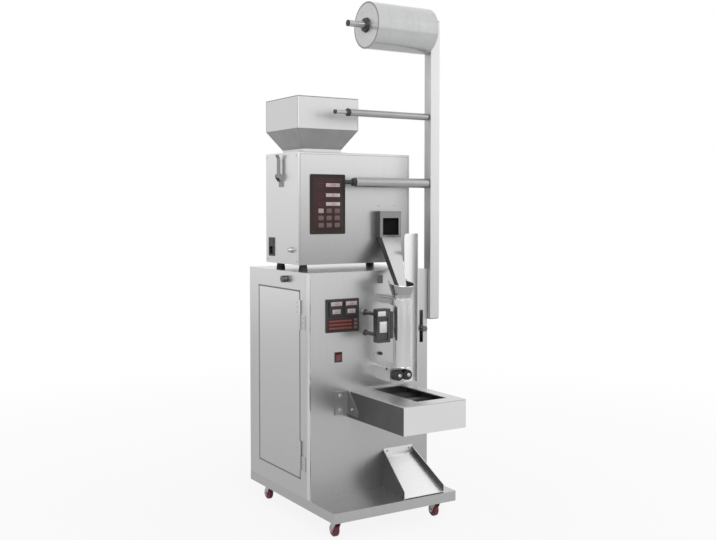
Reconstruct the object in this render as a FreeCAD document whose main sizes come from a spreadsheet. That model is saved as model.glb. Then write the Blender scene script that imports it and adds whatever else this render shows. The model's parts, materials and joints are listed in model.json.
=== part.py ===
import FreeCAD, Part
import os
from types import SimpleNamespace
import Sketcher
from FreeCAD import Rotation, Vector

# Powder filling machine, in millimetres, +Z up, the front towards -Y.
# The origin is on the floor, under the middle of the whole machine.

# Driving dimensions, one named cell each
SIZES = {
    # Cabinet and base tray
    "sheet": 2,
    "cabinet_width": 450,
    "cabinet_depth": 413,
    "cabinet_height": 700,
    "cabinet_corner": 4,
    "tray_reach": 156,
    "tray_height": 31,
    "tray_corner": 3,
    "rail_width": 60,
    "rail_thickness": 4,
    "cover_margin": 28,
    "cover_overlap": 14,
    "vent_count": 8,
    "vent_pitch": 16,
    "vent_width": 120,
    "vent_gap": 5,
    # Casters
    "caster_height": 60,
    "caster_side_inset": 40,
    "caster_front_inset": 52,
    "caster_rear_inset": 74,
    "caster_plate_side": 50,
    "caster_plate_thickness": 3,
    "swivel_race_radius": 15,
    "swivel_race_height": 6,
    "swivel_pin_radius": 5,
    "swivel_gap": 0.3,
    "wheel_radius": 20,
    "wheel_width": 16,
    "wheel_round": 3,
    "wheel_axle_radius": 4,
    "wheel_side_gap": 0.8,
    "wheel_trail": 13,
    "fork_thickness": 2.5,
    "fork_width": 24,
    "running_gap": 0.05,
    # Side door
    "door_from_front": 50,
    "door_width": 291,
    "door_rise": 54,
    "door_below_top": 55,
    "door_gap": 1.5,
    "door_fold": 14,
    "hinge_radius": 4,
    "hinge_pin_radius": 2.5,
    "hinge_half": 46,
    "hinge_leaf_width": 30,
    "hinge_inset": 30,
    "knob_reach": 18,
    "latch_knob_radius": 11,
    "latch_from_front": 140,
    "latch_below_top": 25,
    "latch_tongue_length": 34,
    "latch_tongue_width": 12,
    "latch_shaft_radius": 4,
    # Control panel and rocker switch
    "panel_left": 62,
    "panel_width": 120,
    "panel_below_top": 187,
    "panel_height": 104,
    "panel_thickness": 5,
    "controller_side": 48,
    "controller_bezel": 6,
    "controller_body_side": 44.5,
    "controller_body_depth": 72,
    "controller_fit": 0.25,
    "controller_gap": 6,
    "rocker_left": 94,
    "rocker_below_top": 281,
    "rocker_width": 27,
    "rocker_height": 32,
    "rocker_bezel": 2.5,
    "rocker_body_depth": 20,
    "rocker_mouth_width": 20,
    "rocker_mouth_height": 25,
    "rocker_pivot_depth": 3,
    "rocker_crest": 5,
    "rocker_end_out": 6.8,
    "rocker_end_up": 10.4,
    "rocker_swell": 0.5,
    "rocker_root": 4,
    "rocker_pin_radius": 1.5,
    "rocker_tilt": 10,
    # Weigher housing
    "housing_width": 418,
    "housing_depth": 225,
    "housing_height": 352,
    "housing_setback": 60,
    "housing_corner": 3,
    "foot_height": 22,
    "foot_radius": 14,
    "foot_inset": 36,
    "keypad_left": 41,
    "keypad_width": 127,
    "keypad_rise": 95,
    "keypad_height": 188,
    "keypad_thickness": 2,
    "inlet_from_front": 164,
    "inlet_width": 36,
    "inlet_height": 60,
    "inlet_rise": 22,
    "inlet_bezel": 3,
    "inlet_body_depth": 30,
    "gland_from_front": 43,
    "gland_rise": 46,
    "gland_radius": 9,
    "gland_reach": 14,
    # Discharge hood and chute
    "hood_left": 282,
    "hood_width": 83,
    "hood_rise": 82,
    "hood_height": 85,
    "hood_reach": 30,
    "hood_frame": 11,
    "hood_lintel": 22,
    "hood_sill": 8,
    "ramp_gap": 1,
    "ramp_length": 90,
    "ramp_lift": 76,
    "chute_inset": 6,
    "chute_wall": 1.5,
    "chute_end_side": 23,
    "chute_dip": 8,
    # Hopper
    "hopper_side": 219,
    "hopper_rim_height": 99,
    "hopper_slope_height": 61,
    "hopper_throat_side": 138,
    "hopper_neck_height": 12,
    "hopper_wall": 2,
    "hopper_centre": 110,
    "hopper_flange_side": 160,
    "hopper_flange_thickness": 3,
    "throat_opening_side": 120,
    # Toggle latch on the weigher housing
    "toggle_from_front": 100,
    "toggle_width": 26,
    "toggle_base_height": 34,
    "toggle_base_thickness": 3,
    "toggle_base_lip": 6,
    "toggle_ear": 3,
    "toggle_pin_radius": 2.5,
    "toggle_pin_out": 8,
    "toggle_lever_length": 68,
    "toggle_lever_thickness": 3,
    "toggle_drop": 6,
    # Inside the weigher housing
    "bucket_width": 68,
    "bucket_depth": 78,
    "bucket_height": 70,
    "bucket_below_top": 125,
    "bucket_wall": 1.5,
    "bucket_arm_height": 20,
    "bucket_arm_width": 44,
    "bucket_setback": 12,
    "gate_thickness": 2,
    "gate_gap": 0.4,
    "gate_pin_radius": 2,
    "gate_lug": 10,
    "gate_lug_thickness": 6,
    "gate_strip": 14,
    "feeder_length": 245,
    "feeder_width": 80,
    "feeder_height": 25,
    "feeder_wall": 2,
    "feeder_left": 45,
    "feeder_clearance": 8,
    "vibrator_height": 70,
    "vibrator_length": 120,
    # Mast, spindle and guide rollers
    "mast_side": 35,
    "mast_wall": 2,
    "mast_front_reach": 14,
    "mast_below_top": 163,
    "mast_height": 968,
    "mast_bracket_length": 38,
    "mast_bracket_height": 40,
    "mast_bracket_thickness": 4,
    "mast_bracket_pitch": 100,
    "mast_bracket_rise": 12,
    "spindle_below_mast_top": 34,
    "spindle_radius": 11,
    "spindle_reach": 307,
    "spindle_end_radius": 10,
    "spindle_end_length": 48,
    "spindle_plug": 4,
    "film_width": 227,
    "film_radius": 73,
    "film_from_mast": 2.5,
    "core_radius": 24,
    "core_wall": 4,
    "cone_length": 34,
    "cone_radius": 20,
    "cone_flange_radius": 23,
    "cone_flange": 8,
    "upper_roller_height": 1287,
    "upper_roller_radius": 11,
    "upper_roller_length": 297,
    "upper_shaft_reach": 354,
    "lower_roller_height": 1071,
    "lower_roller_radius": 15.5,
    "lower_roller_length": 277,
    "lower_shaft_reach": 317,
    "shaft_radius": 6,
    "shaft_collar_length": 10,
    "shaft_collar_radius": 12,
    "roller_mast_gap": 2,
    # Film former
    "former_x": 277,
    "former_y": 102,
    "tube_radius": 27,
    "tube_wall": 1.5,
    "tube_bottom": 495,
    "tube_length": 245,
    "shoulder_gap": 1.5,
    "shoulder_wall": 2,
    "shoulder_bottom": 712,
    "shoulder_height": 54,
    "shoulder_radius": 43,
    "shoulder_front_drop": 20,
    "shoulder_back_drop": 4,
    "shoulder_back": 31,
    "guide_left": 341,
    "guide_width": 45,
    "guide_bottom": 430,
    "guide_height": 478,
    "guide_stand": 20,
    "guide_flange": 16,
    "clamp_ring": 9,
    "clamp_height": 16,
    "clamp_bottom": 690,
    "clamp_arm_width": 34,
    "clamp_fit": 0.1,
    "guide_pad_width": 22,
    "guide_pad_height": 130,
    # Back seal unit
    "seal_block_left": 182,
    "seal_block_width": 47,
    "seal_block_depth": 110,
    "seal_block_bottom": 577,
    "seal_block_height": 104,
    "seal_window": 8,
    "seal_bar_width": 9,
    "seal_bar_depth": 16,
    "seal_bar_height": 84,
    "seal_bar_gap": 5,
    "seal_head_depth": 24,
    "seal_post_radius": 6,
    "seal_post_pitch": 64,
    "seal_rod_radius": 4,
    "seal_rod_pitch": 56,
    "seal_rod_from_front": 14,
    # Film pull wheels
    "pull_height": 470,
    "pull_wheel_radius": 16,
    "pull_wheel_width": 22,
    "pull_nip": 1.4,
    "pull_shaft_radius": 6,
    "pull_housing_height": 48,
    "pull_housing_margin": 14,
    "pull_wheel_stand": 8,
    # Cross seal trough and jaws
    "trough_left": 143,
    "trough_width": 227,
    "trough_reach": 308,
    "trough_bottom": 334,
    "trough_height": 85,
    "trough_wall": 3,
    "slot_left": 79,
    "slot_width": 110,
    "slot_from_cabinet": 20,
    "slot_length": 242,
    "rod_radius": 7,
    "rod_inset": 29,
    "rod_rise": 20,
    "jaw_width": 209,
    "jaw_thickness": 28,
    "jaw_height": 60,
    "jaw_drop": 13,
    "jaw_open": 22,
    "jaw_closed_gap": 0.6,
    "seal_face_width": 106,
    "seal_face_reach": 8,
    "seal_face_height": 16,
    "seal_face_rise": 38,
    "serration_pitch": 2,
    "serration_depth": 0.8,
    "push_rod_radius": 8,
    "push_rod_clearance": 3,
    "bracket_reach": 49,
    "bracket_leg": 62,
    "bracket_height": 73,
    "bracket_thickness": 4,
    "bracket_rise": 11,
    "bracket_slant": 14,
    # Outlet slide
    "slide_left": 275,
    "slide_top_width": 113,
    "slide_bottom_width": 152,
    "slide_top": 190,
    "slide_reach": 150,
    "slide_side": 22,
    "slide_flange": 26,
    "slide_foot": 2,
    # Film sensor adjuster
    "sensor_slot_left": 417,
    "sensor_slot_width": 14,
    "sensor_slot_below_top": 241,
    "sensor_slot_height": 106,
    "sensor_neck": 6,
    "sensor_knob_radius": 9,
    "sensor_knob_reach": 22,
    "sensor_grip": 8,
    "sensor_start": 46,
    # Jaw drive inside the cabinet
    "drive_left": 60,
    "drive_back": 92,
    "drive_height": 376,
    "gearbox_width": 82,
    "gearbox_depth": 90,
    "gearbox_height": 104,
    "motor_radius": 42,
    "motor_length": 140,
    "stand_width": 330,
    "stand_thickness": 10,
    "pedestal_width": 24,
    "camshaft_radius": 10,
    "cam_radius": 30,
    "cam_offset": 11,
    "cam_width": 14,
    "cam_spacing": 60,
}

doc = FreeCAD.newDocument("powder_filling_machine")
sheet_object = doc.addObject("Spreadsheet::Sheet", "Sizes")
for row, (name, number) in enumerate(SIZES.items(), start=1):
    sheet_object.set(f"A{row}", name)
    sheet_object.set(f"B{row}", str(number))
    sheet_object.setAlias(f"B{row}", name)
doc.recompute()


class Size:
    """A length that carries its value and the expression that gives it from the sheet."""

    def __init__(self, value, text):
        self.value = float(value)
        self.text = text

    @staticmethod
    def of(other):
        if isinstance(other, Size):
            return other
        return Size(other, f"{float(other):.6f}")

    def __add__(self, other):
        other = Size.of(other)
        return Size(self.value + other.value, f"({self.text} + {other.text})")

    def __sub__(self, other):
        other = Size.of(other)
        return Size(self.value - other.value, f"({self.text} - {other.text})")

    def __mul__(self, other):
        other = Size.of(other)
        return Size(self.value * other.value, f"({self.text} * {other.text})")

    def __truediv__(self, other):
        other = Size.of(other)
        return Size(self.value / other.value, f"({self.text} / {other.text})")

    def __neg__(self):
        return Size(-self.value, f"(0 - {self.text})")

    def __rsub__(self, other):
        return Size.of(other) - self

    __radd__ = __add__
    __rmul__ = __mul__


s = SimpleNamespace(**{name: Size(number, f"Sizes.{name}") for name, number in SIZES.items()})
NODES = []


# Document helpers
def bind(thing, path, size):
    thing.setExpression(path, Size.of(size).text)


def place(thing, x, y, z):
    for axis, size in zip("xyz", (x, y, z)):
        bind(thing, f"Placement.Base.{axis}", size)


def keep(thing, label):
    thing.Label = label
    NODES.append(thing)
    return thing


def new_body(label, x=0, y=0, z=0, kept=True):
    body = doc.addObject("PartDesign::Body", label)
    place(body, x, y, z)
    if kept:
        keep(body, label)
    return body


def draw(body, role, offset=0):
    """A new sketch on one of the body's own origin planes, moved along the plane's normal."""
    sketch = body.newObject("Sketcher::SketchObject", f"{body.Label}_sketch")
    plane = [item for item in body.Origin.OriginFeatures if item.Role == role][0]
    sketch.AttachmentSupport = [(plane, "")]
    sketch.MapMode = "FlatFace"
    bind(sketch, "AttachmentOffset.Base.z", offset)
    return sketch


def tie(sketch, kind, references, size):
    size = Size.of(size)
    index = sketch.addConstraint(Sketcher.Constraint(kind, *references, size.value))
    sketch.setExpression(f"Constraints[{index}]", size.text)


def polygon(sketch, corners):
    """A closed straight outline whose corners are all tied to the sheet."""
    points = [(Size.of(x), Size.of(y)) for x, y in corners]
    first = sketch.GeometryCount
    count = len(points)
    for i in range(count):
        a = points[i]
        b = points[(i + 1) % count]
        start = Vector(a[0].value, a[1].value, 0)
        end = Vector(b[0].value, b[1].value, 0)
        sketch.addGeometry(Part.LineSegment(start, end))
    for i in range(count):
        after = first + (i + 1) % count
        sketch.addConstraint(Sketcher.Constraint("Coincident", first + i, 2, after, 1))
    for i, (x, y) in enumerate(points):
        tie(sketch, "DistanceX", (-1, 1, first + i, 1), x)
        tie(sketch, "DistanceY", (-1, 1, first + i, 1), y)
    return sketch


def rectangle(sketch, x, y, width, height):
    x = Size.of(x)
    y = Size.of(y)
    return polygon(sketch, [(x, y), (x + width, y), (x + width, y + height), (x, y + height)])


def circle(sketch, x, y, radius):
    x = Size.of(x)
    y = Size.of(y)
    radius = Size.of(radius)
    centre = Vector(x.value, y.value, 0)
    index = sketch.addGeometry(Part.Circle(centre, Vector(0, 0, 1), radius.value))
    tie(sketch, "Radius", (index,), radius)
    tie(sketch, "DistanceX", (-1, 1, index, 3), x)
    tie(sketch, "DistanceY", (-1, 1, index, 3), y)
    return sketch


def extrude(kind, body, sketch, length, reverse):
    feature = body.newObject(kind, f"{body.Label}_{kind.split('::')[1].lower()}")
    feature.Profile = sketch
    bind(feature, "Length", length)
    feature.Reversed = reverse
    sketch.Visibility = False
    return feature


def pad(body, sketch, length, reverse=False):
    return extrude("PartDesign::Pad", body, sketch, length, reverse)


def cut(body, sketch, length, reverse=False):
    return extrude("PartDesign::Pocket", body, sketch, length, reverse)


def revolve(body, sketch, axis, kind="PartDesign::Revolution"):
    feature = body.newObject(kind, f"{body.Label}_turned")
    feature.Profile = sketch
    feature.ReferenceAxis = (sketch, [axis])
    feature.Angle = 360
    return feature


def loft(body, first, last):
    feature = body.newObject("PartDesign::AdditiveLoft", f"{body.Label}_loft")
    feature.Profile = first
    feature.Sections = [last]
    feature.Ruled = True
    return feature


def wedge(body, level, height, low, high, kind="PartDesign::AdditiveWedge"):
    """A four-sided frustum up from the level, between rectangles of x, y, width and depth."""
    feature = body.newObject(kind, f"{body.Label}_wedge")
    feature.Placement.Rotation = Rotation(Vector(1, 0, 0), 90)
    bind(feature, "Placement.Base.z", level)
    bind(feature, "Ymin", 0)
    bind(feature, "Ymax", height)
    for mark, (x, y, width, depth) in (("", low), ("2", high)):
        bind(feature, f"X{mark}min", x)
        bind(feature, f"X{mark}max", x + width)
        bind(feature, f"Z{mark}min", -(y + depth))
        bind(feature, f"Z{mark}max", -y)
    return feature


def soften(body, radius, wanted, kind="PartDesign::Fillet"):
    """Rounds the edges of the body's last feature that the test picks."""
    doc.recompute()
    base = body.Tip
    names = []
    for number, edge in enumerate(base.Shape.Edges, start=1):
        if wanted(edge):
            names.append(f"Edge{number}")
    feature = body.newObject(kind, f"{body.Label}_soft")
    feature.Base = (base, names)
    bind(feature, "Radius" if kind.endswith("Fillet") else "Size", radius)
    return feature


def along(edge, axis):
    """True for a straight edge that runs along the axis x, y or z."""
    if edge.Curve.TypeId != "Part::GeomLine":
        return False
    return abs(getattr(edge.Curve.Direction, axis)) > 0.999


def outer(edge, box, axes):
    """True where the edge's middle lies on the bounding box in each of the axes."""
    middle = edge.CenterOfMass
    for axis in axes:
        low = getattr(box, axis.upper() + "Min")
        high = getattr(box, axis.upper() + "Max")
        value = getattr(middle, axis)
        if min(abs(value - low), abs(value - high)) > 0.01:
            return False
    return True


def bar(name, axis, x, y, z, radius, length):
    """A round bar from the given point along +X, +Y or +Z."""
    solid = doc.addObject("Part::Cylinder", name)
    bind(solid, "Radius", radius)
    bind(solid, "Height", length)
    turns = {"x": Rotation(Vector(0, 1, 0), 90), "y": Rotation(Vector(1, 0, 0), -90)}
    solid.Placement.Rotation = turns.get(axis, Rotation())
    place(solid, x, y, z)
    return solid


def group(label, members):
    result = doc.addObject("Part::Compound", label)
    result.Links = members
    return keep(result, label)


# Common levels and places
left = (s.knob_reach - s.cabinet_width - s.mast_side) / 2
front = (s.trough_reach - s.cabinet_depth - s.sheet) / 2
right = left + s.cabinet_width
back = front + s.cabinet_depth
tray_front = front - s.tray_reach
tray_top = s.caster_height + s.tray_height
cabinet_top = tray_top + s.cabinet_height
housing_front = front + s.housing_setback
housing_bottom = cabinet_top + s.foot_height
housing_top = housing_bottom + s.housing_height
door_height = s.cabinet_height - s.door_rise - s.door_below_top
latch_rise = s.cabinet_height - s.latch_below_top
panel_rise = s.cabinet_height - s.panel_below_top
rocker_rise = s.cabinet_height - s.rocker_below_top
sensor_slot_rise = s.cabinet_height - s.sensor_slot_below_top
bucket_rise = s.housing_height - s.bucket_below_top


def build_base_tray():
    """Folded pan with its skirt down, and two caster rails welded across its mouth."""
    body = new_body("base_tray", left, tray_front, s.caster_height)
    depth = s.tray_reach + s.cabinet_depth
    pad(body, rectangle(draw(body, "XY_Plane"), 0, 0, s.cabinet_width, depth), s.tray_height)
    inside = rectangle(draw(body, "XY_Plane"), s.sheet, s.sheet,
                       s.cabinet_width - 2 * s.sheet, depth - 2 * s.sheet)
    cut(body, inside, s.tray_height - s.sheet, reverse=True)
    soften(body, s.tray_corner, lambda edge: along(edge, "z")
           and outer(edge, body.Tip.Shape.BoundBox, "xy"))
    for x in (s.sheet, s.cabinet_width - s.sheet - s.rail_width):
        rail = rectangle(draw(body, "XY_Plane"), x, s.sheet - 0.5, s.rail_width,
                         depth - 2 * s.sheet + 1)
        pad(body, rail, s.rail_thickness)


def build_caster(name, x, y):
    """One swivel caster. Its plate is returned, to be grouped with the other three."""
    plate_bottom = s.caster_height - s.caster_plate_thickness
    race_bottom = plate_bottom - s.swivel_race_height
    plate = new_body(f"caster_plate_{name}", x, y, race_bottom, kept=False)
    half = s.caster_plate_side / 2
    base = rectangle(draw(plate, "XY_Plane", s.swivel_race_height), -half, -half,
                     s.caster_plate_side, s.caster_plate_side)
    pad(plate, base, s.caster_plate_thickness)
    soften(plate, s.caster_plate_side / 12, lambda edge: along(edge, "z"),
           "PartDesign::Chamfer")
    pad(plate, circle(draw(plate, "XY_Plane"), 0, 0, s.swivel_race_radius),
        s.swivel_race_height)
    bore = circle(draw(plate, "XY_Plane"), 0, 0, s.swivel_pin_radius + s.running_gap)
    cut(plate, bore, s.swivel_race_height + s.caster_plate_thickness, reverse=True)

    fork_top = race_bottom - s.swivel_gap
    crown = fork_top - s.fork_thickness
    inner = s.wheel_width / 2 + s.wheel_side_gap
    fork = new_body(f"caster_fork_{name}", x, y, s.wheel_radius)
    crown_rise = crown - s.wheel_radius
    wide = inner + s.fork_thickness
    crown_half = s.swivel_race_radius - s.fork_thickness
    crown_plate = rectangle(draw(fork, "XY_Plane", crown_rise), -wide, -crown_half, 2 * wide,
                            2 * crown_half)
    pad(fork, crown_plate, s.fork_thickness)
    pin = circle(draw(fork, "XY_Plane", crown_rise), 0, 0, s.swivel_pin_radius)
    pad(fork, pin, s.caster_height - crown - 0.5)
    cheek = s.fork_width / 2
    side = [(-s.swivel_race_radius + 3, crown_rise + s.fork_thickness),
            (s.swivel_race_radius - 3, crown_rise + s.fork_thickness),
            (s.wheel_trail + cheek * 0.75, s.wheel_radius * 0.15),
            (s.wheel_trail + cheek * 0.35, -cheek * 0.6),
            (s.wheel_trail - cheek * 0.35, -cheek * 0.6),
            (s.wheel_trail - cheek * 0.75, s.wheel_radius * 0.1)]
    for offset in (inner, -inner - s.fork_thickness):
        pad(fork, polygon(draw(fork, "YZ_Plane", offset), side), s.fork_thickness)
    head = inner + s.fork_thickness + 1.5
    pad(fork, circle(draw(fork, "YZ_Plane", -head), s.wheel_trail, 0, s.wheel_axle_radius),
        2 * head)

    wheel = new_body(f"caster_wheel_{name}", x, y + s.wheel_trail, s.wheel_radius)
    half_width = s.wheel_width / 2
    rim = s.wheel_radius - s.wheel_round
    bore_radius = s.wheel_axle_radius + s.running_gap
    tread = [(-half_width, bore_radius), (half_width, bore_radius), (half_width, rim),
             (half_width - s.wheel_round, s.wheel_radius),
             (s.wheel_round - half_width, s.wheel_radius), (-half_width, rim)]
    revolve(wheel, polygon(draw(wheel, "XZ_Plane"), tread), "H_Axis")
    return plate


def build_casters():
    inset = s.caster_side_inset
    rear = back - s.caster_rear_inset
    near = tray_front + s.caster_front_inset
    places = {"front_left": (left + inset, near), "front_right": (right - inset, near),
              "rear_left": (left + inset, rear), "rear_right": (right - inset, rear)}
    group("caster_plates", [build_caster(name, x, y) for name, (x, y) in places.items()])


def hinge_levels():
    """Heights of the bottoms of the two door hinges, above the cabinet's foot."""
    low = s.door_rise + s.hinge_inset
    high = s.door_rise + door_height - s.hinge_inset - 2 * s.hinge_half
    return low, high


def build_cabinet():
    """Folded shell, open below and with openings for the door, the cover and the controls."""
    body = new_body("cabinet_shell", left, front, tray_top)
    pad(body, rectangle(draw(body, "XY_Plane"), 0, 0, s.cabinet_width, s.cabinet_depth),
        s.cabinet_height)
    soften(body, s.cabinet_corner, lambda edge: along(edge, "z"))
    inside = rectangle(draw(body, "XY_Plane"), s.sheet, s.sheet,
                       s.cabinet_width - 2 * s.sheet, s.cabinet_depth - 2 * s.sheet)
    cut(body, inside, s.cabinet_height - s.sheet, reverse=True)
    doorway = rectangle(draw(body, "YZ_Plane"), s.door_from_front, s.door_rise, s.door_width,
                        door_height)
    cut(body, doorway, s.sheet, reverse=True)
    margin = s.cover_margin + s.cover_overlap
    rear = rectangle(draw(body, "XZ_Plane", -s.cabinet_depth), margin, margin,
                     s.cabinet_width - 2 * margin, s.cabinet_height - 2 * margin)
    cut(body, rear, s.sheet, reverse=True)
    controls = draw(body, "XZ_Plane")
    rectangle(controls, s.panel_left + s.panel_thickness, panel_rise + s.panel_thickness,
              s.panel_width - 2 * s.panel_thickness, s.panel_height - 2 * s.panel_thickness)
    edge = s.rocker_bezel
    rectangle(controls, s.rocker_left + edge, rocker_rise + edge,
              s.rocker_width - 2 * edge, s.rocker_height - 2 * edge)
    rectangle(controls, s.sensor_slot_left, sensor_slot_rise, s.sensor_slot_width,
              s.sensor_slot_height)
    cut(body, controls, s.sheet)
    bores = draw(body, "XZ_Plane")
    for x in rod_places():
        circle(bores, s.trough_left + x, s.trough_bottom + s.rod_rise - tray_top,
               s.rod_radius + s.running_gap)
    circle(bores, s.former_x, s.drive_height - tray_top, s.push_rod_radius + s.running_gap)
    cut(body, bores, s.sheet)
    spindle = circle(draw(body, "YZ_Plane"), s.latch_from_front, latch_rise,
                     s.latch_shaft_radius + s.running_gap)
    cut(body, spindle, s.sheet, reverse=True)
    hinge_y = s.door_from_front - 3
    for level in hinge_levels():
        leaf = rectangle(draw(body, "XY_Plane", level), -s.sheet, hinge_y - s.hinge_leaf_width,
                         s.sheet, s.hinge_leaf_width)
        pad(body, leaf, s.hinge_half)
        knuckle = draw(body, "XY_Plane", level)
        pad(body, circle(knuckle, -s.hinge_radius, hinge_y, s.hinge_radius), s.hinge_half)
        pin = draw(body, "XY_Plane", level)
        pad(body, circle(pin, -s.hinge_radius, hinge_y, s.hinge_pin_radius), 2 * s.hinge_half)


def rod_places():
    """The two guide rods across the trough, from its left wall."""
    return s.rod_inset, s.trough_width - s.rod_inset


def build_rear_cover():
    """Flat cover over the rear opening, with a row of vent slots."""
    body = new_body("rear_cover", left + s.cover_margin, back, tray_top + s.cover_margin)
    width = s.cabinet_width - 2 * s.cover_margin
    height = s.cabinet_height - 2 * s.cover_margin
    pad(body, rectangle(draw(body, "XZ_Plane"), 0, 0, width, height), s.sheet, reverse=True)
    vent = rectangle(draw(body, "XZ_Plane"), (width - s.vent_width) / 2,
                     height - 2 * s.cover_margin - s.vent_count * s.vent_pitch,
                     s.vent_width, s.vent_gap)
    first = cut(body, vent, s.sheet)
    row = body.newObject("PartDesign::LinearPattern", "vent_row")
    row.Originals = [first]
    row.Direction = (vent, ["V_Axis"])
    row.Mode = "Spacing"
    bind(row, "Offset", s.vent_pitch)
    bind(row, "Occurrences", s.vent_count)
    body.Tip = row


def build_side_door():
    """Inset sheet door with folded edges and its halves of the two lift-off hinges."""
    body = new_body("side_door", left, front + s.door_from_front + s.door_gap,
                    tray_top + s.door_rise + s.door_gap)
    width = s.door_width - 2 * s.door_gap
    height = door_height - 2 * s.door_gap
    pad(body, rectangle(draw(body, "YZ_Plane"), 0, 0, width, height), s.door_fold)
    soften(body, s.door_gap, lambda edge: along(edge, "x"))
    hollow = rectangle(draw(body, "YZ_Plane", s.door_fold), s.sheet, s.sheet,
                       width - 2 * s.sheet, height - 2 * s.sheet)
    cut(body, hollow, s.door_fold - s.sheet)
    hinge_y = -s.door_gap - 3
    for level in hinge_levels():
        bottom = level - s.door_rise - s.door_gap + s.hinge_half + s.swivel_gap
        tall = s.hinge_half - s.swivel_gap
        leaf = rectangle(draw(body, "XY_Plane", bottom), -s.sheet, hinge_y, s.sheet,
                         s.hinge_leaf_width)
        pad(body, leaf, tall)
        knuckle = circle(draw(body, "XY_Plane", bottom), -s.hinge_radius, hinge_y,
                         s.hinge_radius)
        pad(body, knuckle, tall)
        bore = circle(draw(body, "XY_Plane", bottom), -s.hinge_radius, hinge_y,
                      s.hinge_pin_radius + s.running_gap)
        cut(body, bore, tall, reverse=True)


def build_turn_latch():
    """Knob above the door with a short tongue that swings down over the door's edge."""
    body = new_body("turn_latch", left, front + s.latch_from_front, tray_top + latch_rise)
    grip = s.knob_reach - s.sheet - s.swivel_gap
    tongue_out = s.sheet + s.swivel_gap
    reach = s.latch_tongue_length
    tongue = rectangle(draw(body, "YZ_Plane", -tongue_out), -s.latch_tongue_width / 2,
                       -s.latch_tongue_width / 2, reach, s.latch_tongue_width)
    pad(body, tongue, s.sheet)
    soften(body, s.latch_tongue_width / 2.5, lambda edge: along(edge, "x"))
    pad(body, circle(draw(body, "YZ_Plane", -s.knob_reach), 0, 0, s.latch_knob_radius), grip)
    soften(body, s.latch_knob_radius / 8, lambda edge: edge.Curve.TypeId == "Part::GeomCircle"
           and edge.CenterOfMass.x < -s.knob_reach.value + 0.1, "PartDesign::Chamfer")
    shaft = circle(draw(body, "YZ_Plane", -tongue_out), 0, 0, s.latch_shaft_radius)
    pad(body, shaft, tongue_out + 4 * s.sheet)


def build_control_panel():
    """Raised panel with two instrument cut-outs above a flat key field."""
    body = new_body("control_panel", left + s.panel_left, front, tray_top + panel_rise)
    pad(body, rectangle(draw(body, "XZ_Plane"), 0, 0, s.panel_width, s.panel_height),
        s.panel_thickness)
    soften(body, s.panel_thickness * 0.4, lambda edge: along(edge, "y")
           or (along(edge, "x") or along(edge, "z"))
           and edge.CenterOfMass.y < -s.panel_thickness.value + 0.01, "PartDesign::Chamfer")
    hole = s.controller_body_side + 2 * s.controller_fit
    cuts = draw(body, "XZ_Plane", s.panel_thickness)
    for x, z in controller_places():
        rectangle(cuts, x - hole / 2, z - hole / 2, hole, hole)
    cut(body, cuts, s.panel_thickness)


def controller_places():
    """Centres of the two instruments, from the panel's lower left corner."""
    half_pitch = (s.controller_side + s.controller_gap) / 2
    z = s.panel_height - s.controller_gap - s.controller_side / 2
    return [(s.panel_width / 2 - half_pitch, z), (s.panel_width / 2 + half_pitch, z)]


def build_controllers():
    members = []
    for number, (x, z) in enumerate(controller_places(), start=1):
        body = new_body(f"controller_{number}", left + s.panel_left + x,
                        front - s.panel_thickness, tray_top + panel_rise + z, kept=False)
        half = s.controller_side / 2
        pad(body, rectangle(draw(body, "XZ_Plane"), -half, -half, s.controller_side,
                            s.controller_side), s.controller_bezel)
        soften(body, s.controller_bezel / 4, lambda edge: edge.CenterOfMass.y
               < -s.controller_bezel.value + 0.01 or along(edge, "y"), "PartDesign::Chamfer")
        core = s.controller_body_side / 2
        case = rectangle(draw(body, "XZ_Plane"), -core, -core, s.controller_body_side,
                         s.controller_body_side)
        pad(body, case, s.controller_body_depth, reverse=True)
        members.append(body)
    group("temperature_controllers", members)


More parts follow.
